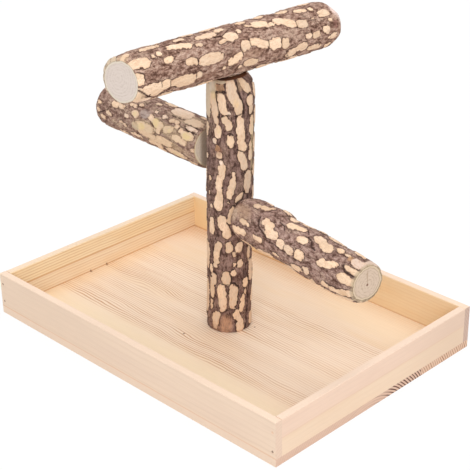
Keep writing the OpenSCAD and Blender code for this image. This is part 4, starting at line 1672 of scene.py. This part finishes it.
@dataclass
class Branches:
    """The post and its three perches.

    The top perch's axis passes through top_middle, dips by top_dip degrees and starts top_before before it,
    and its front end is cut top_cut degrees aslant.
    """

    top_middle: tuple[float, float, float] = (3.2639, 3.2639, 227.4)
    top_dip: float = 2.1
    top_before: float = 107.0
    top_cut: float = 8.0

    def build(self) -> None:
        """Builds the four branches where the frame has them."""
        post = Post(
            "barked_post", "post", "upright", (0.0, 0.0, 6.0), (0.0, 0.0, 1.0), (1.0, 0.0, 0.0), 203.4, 17.7,
            (1.0, 0.99, 1.0, 0.985, 0.995, 1.0, 1.0, 1.01, 1.0, 1.0, 0.99),
            BranchEnd(0.945, 3.0, POST_FACE_STAIN_AND_PAINTED_SHADE), BranchEnd(0.93, 3.0, POST_FACE_STAIN_AND_PAINTED_SHADE),
            # shade=0.94 paints the top perch's shade onto the post's islands.
            POST_BARK, POST_ISLANDS, POST_CRACKS, POST_STAINS, hidden=(46.0, 223.0), seed=11, shade=0.94,
            bumps=(Bump(190.0, -135, 44, 26, 0.6), Bump(115.0, -135, 14, 16, 0.4)),
        )
        dip = math.radians(self.top_dip)
        ahead = (0.0, math.cos(dip), -math.sin(dip))
        foot = tuple(point - self.top_before * way for point, way in zip(self.top_middle, ahead))
        top = TopPerch(
            "barked_top_perch", "top_perch", "top_branch", foot, ahead, (0.0, 0.0, 1.0), 202.0, 18.3,
            (0.945, 0.972, 0.962, 0.983, 0.972, 0.986, 0.989, 0.986, 0.995, 1.005, 1.005, 0.99),
            BranchEnd(0.81, 5.0, TOP_FACE, 0.085, 125.0), BranchEnd(0.95, 1.4, TOP_FACE),
            TOP_BARK, TOP_ISLANDS, TOP_CRACKS, TOP_STAINS, hidden=(156.0, 338.0), seed=23,
            start_slant=math.tan(math.radians(self.top_cut)), far_slant=0.3, far_slant_way=80.0,
            network_depth=0.75, start_trim=1.9, far_trim=1.0,
            bumps=(
                Bump(201.0, 32, 14, 16, -1.2), Bump(201.0, 125, 14, 16, -0.9),
                Bump(8.0, -25, 16, 24, -0.6), Bump(40.0, -25, 20, 20, -0.6), Bump(155.0, -25, 20, 22, -1.3),
                Bump(100.0, 152, 60, 16, 0.5), Bump(165.0, 152, 60, 16, 0.1), Bump(60.5, 155, 6, 10, -0.6),
                Bump(140.5, 155, 5, 10, -0.5), Bump(150.5, 155, 5, 10, -0.5),
            ),
        )
        left = Branch(
            "barked_left_perch", "left_perch", "left_branch", (-15.9664, 3.5441, 147.4),
            (-0.9975641, 0.0697565, 0.0), (0.0, 0.0, 1.0), 126.2, 18.3,
            (0.985, 1.0, 0.995, 0.99, 0.995, 0.995, 1.015, 1.0, 1.0),
            BranchEnd(0.925, 4.0, LEFT_INNER_FACE, 0.03, 0.0), BranchEnd(0.90, 4.0, LEFT_FACE),
            LEFT_BARK, LEFT_ISLANDS, LEFT_CRACKS, LEFT_STAINS, hidden=(34.0, 214.0), seed=37,
            start_slant=-0.09, start_trim=3.3, shade=0.97,
        )
        right = Branch(
            "barked_right_perch", "right_perch", "right_branch", (19.609, -1.1155, 104.4),
            (0.9890159, -0.1478094, 0.0), (0.0, 0.0, 1.0), 135.0, 17.0,
            (1.0, 1.0, 1.015, 0.94, 0.945, 1.0, 0.985, 0.975, 0.955, 0.89),
            BranchEnd(0.73, 13.0, LEFT_FACE), BranchEnd(0.765, 4.0, RIGHT_FACE, 0.06, 10.0),
            RIGHT_BARK, RIGHT_ISLANDS, RIGHT_CRACKS, RIGHT_STAINS, hidden=(142.0, 320.0), seed=41,
            network_depth=0.65,
            bumps=(
                Bump(135.0, 170, 18, 24, -0.8), Bump(36.0, -38, 20, 22, 0.95), Bump(77.0, -38, 24, 22, 0.3),
                Bump(103.0, -38, 18, 20, -0.5), Bump(100.0, 141, 34, 22, 0.3),
            ),
        )
        for branch in (post, top, left, right):
            branch.build()


FLAT_ENDS = Rings((-60.0, -60.0), 2.6, 0.35, 1.0)
FLOOR_BANDS = (
    (-106, 0.05), (-56, 0.1), (-52, 0.9), (-47, 1.0), (-37, 1.0), (-32, 0.72), (-16, 0.72), (-12, 0.4),
    (-7, 0.5), (-3, 1.0), (12, 0.95), (17, 0.75), (34, 0.82), (50, 0.6),
)
FLOOR_SWERVES = (
    Swerve((-90.0, 2.0), (26.0, 14.0), -5.5), Swerve((-105.0, -40.0), (40.0, 10.0), -1.5),
    Swerve((-12.0, -42.0), (22.0, 9.0), 2.0), Swerve((40.0, -45.0), (20.0, 9.0), -1.6),
    Swerve((85.0, -42.0), (16.0, 9.0), 1.4),
)
FLOOR_END_BANDS = ((-106, 0.05), (-10, 0.08), (6, 0.3), (15, 1.0), (45, 1.0), (50, 0.6))
NARROW_BANDS = ((49, 0.45), (58, 0.2), (72, 0.25), (80, 0.6), (95, 1.0), (106, 1.0))
FLOOR_PINE = PineFinish(
    "floor_pine", Grain.ALONG_X, early=(251, 228, 204), late=(196, 138, 86),
    face=Rings((-400.0, 0.0), 2.3, 1.0, 1.3, FLOOR_BANDS, FLOOR_SWERVES),
    end=Rings((-10.5, -39.0), 2.3, 2.2, 0.25, FLOOR_END_BANDS), end_early=(226, 192, 170),
    end_late=(88, 46, 28), smear=(244, 212, 176), smear_share=0.35, outer=(235, 210, 188),
    patches=(
        # The light strip along the front wall is painted light that lifts the wall's shade off the floor.
        Patch((0.0, -80.0), (400.0, 26.0), (255, 233, 201), 0.95),
        Patch((110.0, -10.0), (75.0, 50.0), (250, 227, 204), 0.45),
        Patch((-150.0, 0.0), (22.0, 200.0), (246, 214, 170), 0.4),
    ),
    specks=(
        Speck((20.0, 8.0, 6.0), 1.0), Speck((-12.5, -36.5, 6.0), 1.4), Speck((-143.4, -20.5, 6.0), 1.5),
        Speck((-143.4, -3.1, 6.0), 1.4),
    ),
)
NARROW_PINE = PineFinish(
    "narrow_stave_pine", Grain.ALONG_X, early=(249, 225, 200), late=(214, 162, 104),
    face=Rings((-400.0, 0.0), 2.0, 1.0, 0.7, NARROW_BANDS),
    end=Rings((-10.5, -39.0), 2.2, 1.0, 0.5), end_early=(230, 196, 170), end_late=(150, 96, 62),
    smear=(246, 212, 166), smear_share=0.3, outer=(235, 210, 188),
    patches=(Patch((90.0, 88.0), (70.0, 30.0), (253, 228, 196), 0.8),), seed_move=4.0,
)
FRONT_PINE = PineFinish(
    "front_wall_pine", Grain.ALONG_X, early=(235, 210, 187), late=(216, 188, 163),
    face=Rings((-103.0, -120.0), 5.0, 0.35, 1.0), end=FLAT_ENDS, end_early=(234, 206, 184),
    end_late=(214, 180, 154), smear=(227, 201, 180), smear_share=0.45, rim=(247, 221, 198),
    seam_height=6.2, seam=(218, 166, 124), seam_share=0.5, seam_half=1.0,
    # The darker patch at the left end is painted shade: the light falling off towards that end.
    patches=(Patch((-110.0, -103.0), (90.0, 200.0), (228, 203, 180), 0.6),), seed_move=9.0,
)
BACK_PINE = PineFinish(
    "back_wall_pine", Grain.ALONG_X, early=(243, 215, 175), late=(229, 190, 142),
    face=Rings((103.0, -260.0), 3.0, 0.35, 1.0), end=Rings((60.0, -10.0), 2.4, 0.35, 0.6),
    end_early=(206, 178, 162), end_late=(170, 130, 106), smear=(238, 200, 150), smear_share=0.4,
    rim=(251, 223, 199), seam=(206, 150, 96), contact_shadow_share=0.45,
    patches=(Patch((-130.0, 103.0), (70.0, 200.0), (255, 226, 180), 0.8),), seed_move=13.0,
)
LEFT_LOWER_PINE = PineFinish(
    "left_lower_pine", Grain.ALONG_Y, early=(248, 227, 197), late=(206, 154, 102),
    face=Rings((147.0, -300.0), 2.4, 0.55, 0.5), end=FLAT_ENDS, smear=(242, 208, 164), smear_share=0.4,
    seam_height=20.8, seam=(208, 154, 100), seam_share=0.6, seam_half=1.3, contact_shadow_share=0.6, seed_move=17.0,
    specks=(Speck((-143.8, -20.5, 6.8), 1.2), Speck((-143.8, -3.1, 6.8), 1.1)),
)
LEFT_UPPER_PINE = PineFinish(
    "left_upper_pine", Grain.ALONG_Y, early=(251, 230, 194), late=(206, 152, 92),
    face=Rings((147.0, -300.0), 2.4, 0.6, 0.5), end=FLAT_ENDS, smear=(242, 206, 154), smear_share=0.4,
    rim=(248, 222, 194), seam_height=20.8, seam=(208, 154, 100), seam_share=0.6, seam_half=1.3,
    seed_move=21.0,
)
RIGHT_LOWER_PINE = PineFinish(
    "right_lower_pine", Grain.ALONG_Y, early=(242, 215, 188), late=(222, 190, 160),
    face=Rings((-147.0, -200.0), 4.0, 0.14, 0.8), end=FLAT_ENDS, smear=(236, 202, 168), smear_share=0.4,
    seam_height=20.5, seam=(222, 180, 148), seam_share=0.28,
    patches=(Patch((95.0, 147.0), (75.0, 400.0), (226, 199, 174), 0.75),), seed_move=25.0,
)
RIGHT_UPPER_PINE = PineFinish(
    "right_upper_pine", Grain.ALONG_Y, early=(240, 210, 188), late=(222, 188, 166),
    face=Rings((-147.0, -200.0), 4.0, 0.14, 0.8), end=FLAT_ENDS, smear=(232, 198, 176), smear_share=0.4,
    rim=(247, 221, 199), seam_height=20.5, seam=(222, 180, 148), seam_share=0.28,
    patches=(Patch((95.0, 147.0), (75.0, 400.0), (224, 196, 174), 0.75),), seed_move=29.0,
)


@dataclass
class Tray:
    """The nailed tray: its boards keep the frame's solids and get their own wood."""

    boards: tuple[tuple[str, PineFinish], ...] = (
        ("base_wide_stave", FLOOR_PINE),
        ("base_narrow_stave", NARROW_PINE),
        ("front_long_wall", FRONT_PINE),
        ("back_long_wall", BACK_PINE),
        ("left_wall_lower_strip", LEFT_LOWER_PINE),
        ("left_wall_upper_strip", LEFT_UPPER_PINE),
        ("right_wall_lower_strip", RIGHT_LOWER_PINE),
        ("right_wall_upper_strip", RIGHT_UPPER_PINE),
    )
    brads: tuple[str, ...] = ("corner_brads", "base_brads")
    brad_finish: SteelFinish = SteelFinish(
        "dull_brad_steel", (158, 136, 120), roughness=0.55, metallic=0.6, stopped=(147.0, -106.0, 26.3)
    )

    def dress(self) -> None:
        """Gives each board its own wood and the brads their steel."""
        for node, finish in self.boards:
            dress_node(node, finish.material())
        steel = self.brad_finish.material()
        for node in self.brads:
            dress_node(node, steel)


@dataclass
class Screws:
    """The base screw and the three double-ended screws inside the branches."""

    nodes: tuple[str, ...] = ("base_screw", "top_dowel_screw", "left_dowel_screw", "right_dowel_screw")
    finish: SteelFinish = SteelFinish("bright_zinc", (196, 198, 202), 0.34)

    def dress(self) -> None:
        """Gives the screws their plating."""
        steel = self.finish.material()
        for node in self.nodes:
            dress_node(node, steel)


def dress_node(node: str, material: bpy.types.Material) -> None:
    """Puts a material in every slot of a frame node.

    Args:
        node: The node's name.
        material: The material.
    """
    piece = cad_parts[node]
    if not piece.material_slots:
        piece.data.materials.append(material)
    for slot in piece.material_slots:
        slot.material = material
    log.info("%s: %s", node, material.name)


@dataclass(frozen=True)
class Lamp:
    """A soft square lamp: its place and side in metres and its power in watts."""

    name: str
    place: tuple[float, float, float]
    power: float
    size: float = 1.8


@dataclass
class Studio:
    """Camera, soft lamps, white surroundings and the floor.

    Eye is in millimetres, the angles in degrees, and target, floor_size and the camera's clipping in metres.
    """

    eye: tuple[float, float, float] = (632.4, -617.7, 519.5)
    yaw: float = 44.69
    pitch: float = 26.44
    roll: float = -0.59
    focal_px: float = 1308.4
    image_px: float = 470.0
    centre_px: tuple[float, float] = (247.7, 236.7)
    sensor: float = 36.0
    clip: tuple[float, float] = (0.05, 50.0)
    world_strength: float = 0.66
    floor_size: float = 6.0
    floor_colour: Colour = (0.86, 0.86, 0.86, 1.0)
    glow_strength: float = 1.03
    glow_share: float = 0.88
    target: tuple[float, float, float] = (0.0, 0.0, 0.1)
    lamps: tuple[Lamp, ...] = (
        Lamp("key_lamp", (1.5, -1.5, 1.5), 30.0),
        Lamp("left_lamp", (-1.9, -1.3, 1.6), 2.5),
        Lamp("top_lamp", (-0.2, 0.7, 2.5), 16.0),
    )

    def build(self) -> None:
        """Sets up everything round the object."""
        self._camera()
        self._world()
        self._floor()
        for lamp in self.lamps:
            self._light(lamp)
        bpy.context.scene.view_settings.view_transform = "Standard"

    def _camera(self) -> None:
        """Places the camera at the photograph's viewpoint."""
        yaw, pitch, roll = (math.radians(angle) for angle in (self.yaw, self.pitch, self.roll))
        ahead = Vector((-math.sin(yaw) * math.cos(pitch), math.cos(yaw) * math.cos(pitch), -math.sin(pitch)))
        level = Vector((math.cos(yaw), math.sin(yaw), 0.0))
        upright = level.cross(ahead)
        right = math.cos(roll) * level + math.sin(roll) * upright
        up = -math.sin(roll) * level + math.cos(roll) * upright
        data = bpy.data.cameras.new("camera")
        data.sensor_width = self.sensor
        data.lens = self.focal_px / self.image_px * self.sensor
        middle = self.image_px / 2
        data.shift_x = (middle - self.centre_px[0]) / self.image_px
        data.shift_y = (self.centre_px[1] - middle) / self.image_px
        data.clip_start, data.clip_end = self.clip
        camera = bpy.data.objects.new("camera", data)
        bpy.context.scene.collection.objects.link(camera)
        turn = Matrix((right, up, -ahead)).transposed()
        camera.matrix_world = Matrix.Translation(Vector(self.eye) * MM) @ turn.to_4x4()
        bpy.context.scene.camera = camera

    def _world(self) -> None:
        """Lights the object evenly and shows white behind it."""
        world = bpy.data.worlds.new("white_surroundings")
        bpy.context.scene.world = world
        world.use_nodes = True
        nodes = Nodes(world.node_tree)
        background = world.node_tree.nodes["Background"]
        background.inputs["Color"].default_value = (1.0, 1.0, 1.0, 1.0)
        strength = nodes.add("ShaderNodeMapRange")
        nodes.feed(strength.inputs["Value"], nodes.seen())
        strength.inputs["To Min"].default_value = self.world_strength
        strength.inputs["To Max"].default_value = 1.0
        nodes.feed(background.inputs["Strength"], strength.outputs[0])

    def _floor(self) -> None:
        """Adds the white floor, which keeps a faint shadow."""
        deselect_all()
        bpy.ops.mesh.primitive_plane_add(size=self.floor_size, location=(0.0, 0.0, 0.0))
        floor = bpy.context.object
        floor.name = "studio_floor"
        sketch = NodeSketch("white_floor")
        sketch.shader.inputs["Base Color"].default_value = self.floor_colour
        sketch.shader.inputs["Roughness"].default_value = 0.9
        sketch.shader.inputs["Specular IOR Level"].default_value = 0.0
        glow = sketch.add("ShaderNodeEmission")
        glow.inputs["Strength"].default_value = self.glow_strength
        blend = sketch.add("ShaderNodeMixShader")
        sketch.feed(blend.inputs[0], sketch.calc("MULTIPLY", sketch.seen(), self.glow_share))
        sketch.feed(blend.inputs[1], sketch.shader.outputs[0])
        sketch.feed(blend.inputs[2], glow.outputs[0])
        sketch.feed(sketch.tree.nodes["Material Output"].inputs["Surface"], blend.outputs[0])
        floor.data.materials.append(sketch.material)

    def _light(self, lamp: Lamp) -> None:
        """Adds a lamp that faces the object.

        Args:
            lamp: Its name, place, size and power.
        """
        data = bpy.data.lights.new(lamp.name, "AREA")
        data.shape = "SQUARE"
        data.size = lamp.size
        data.energy = lamp.power
        light = bpy.data.objects.new(lamp.name, data)
        light.location = lamp.place
        target = Vector(self.target) - Vector(lamp.place)
        light.rotation_euler = target.to_track_quat("-Z", "Y").to_euler()
        bpy.context.scene.collection.objects.link(light)


def main() -> None:
    """Builds the studio, the branches and the tray's finish."""
    Studio().build()
    Branches().build()
    Tray().dress()
    Screws().dress()


if __name__ == "__main__":
    main()
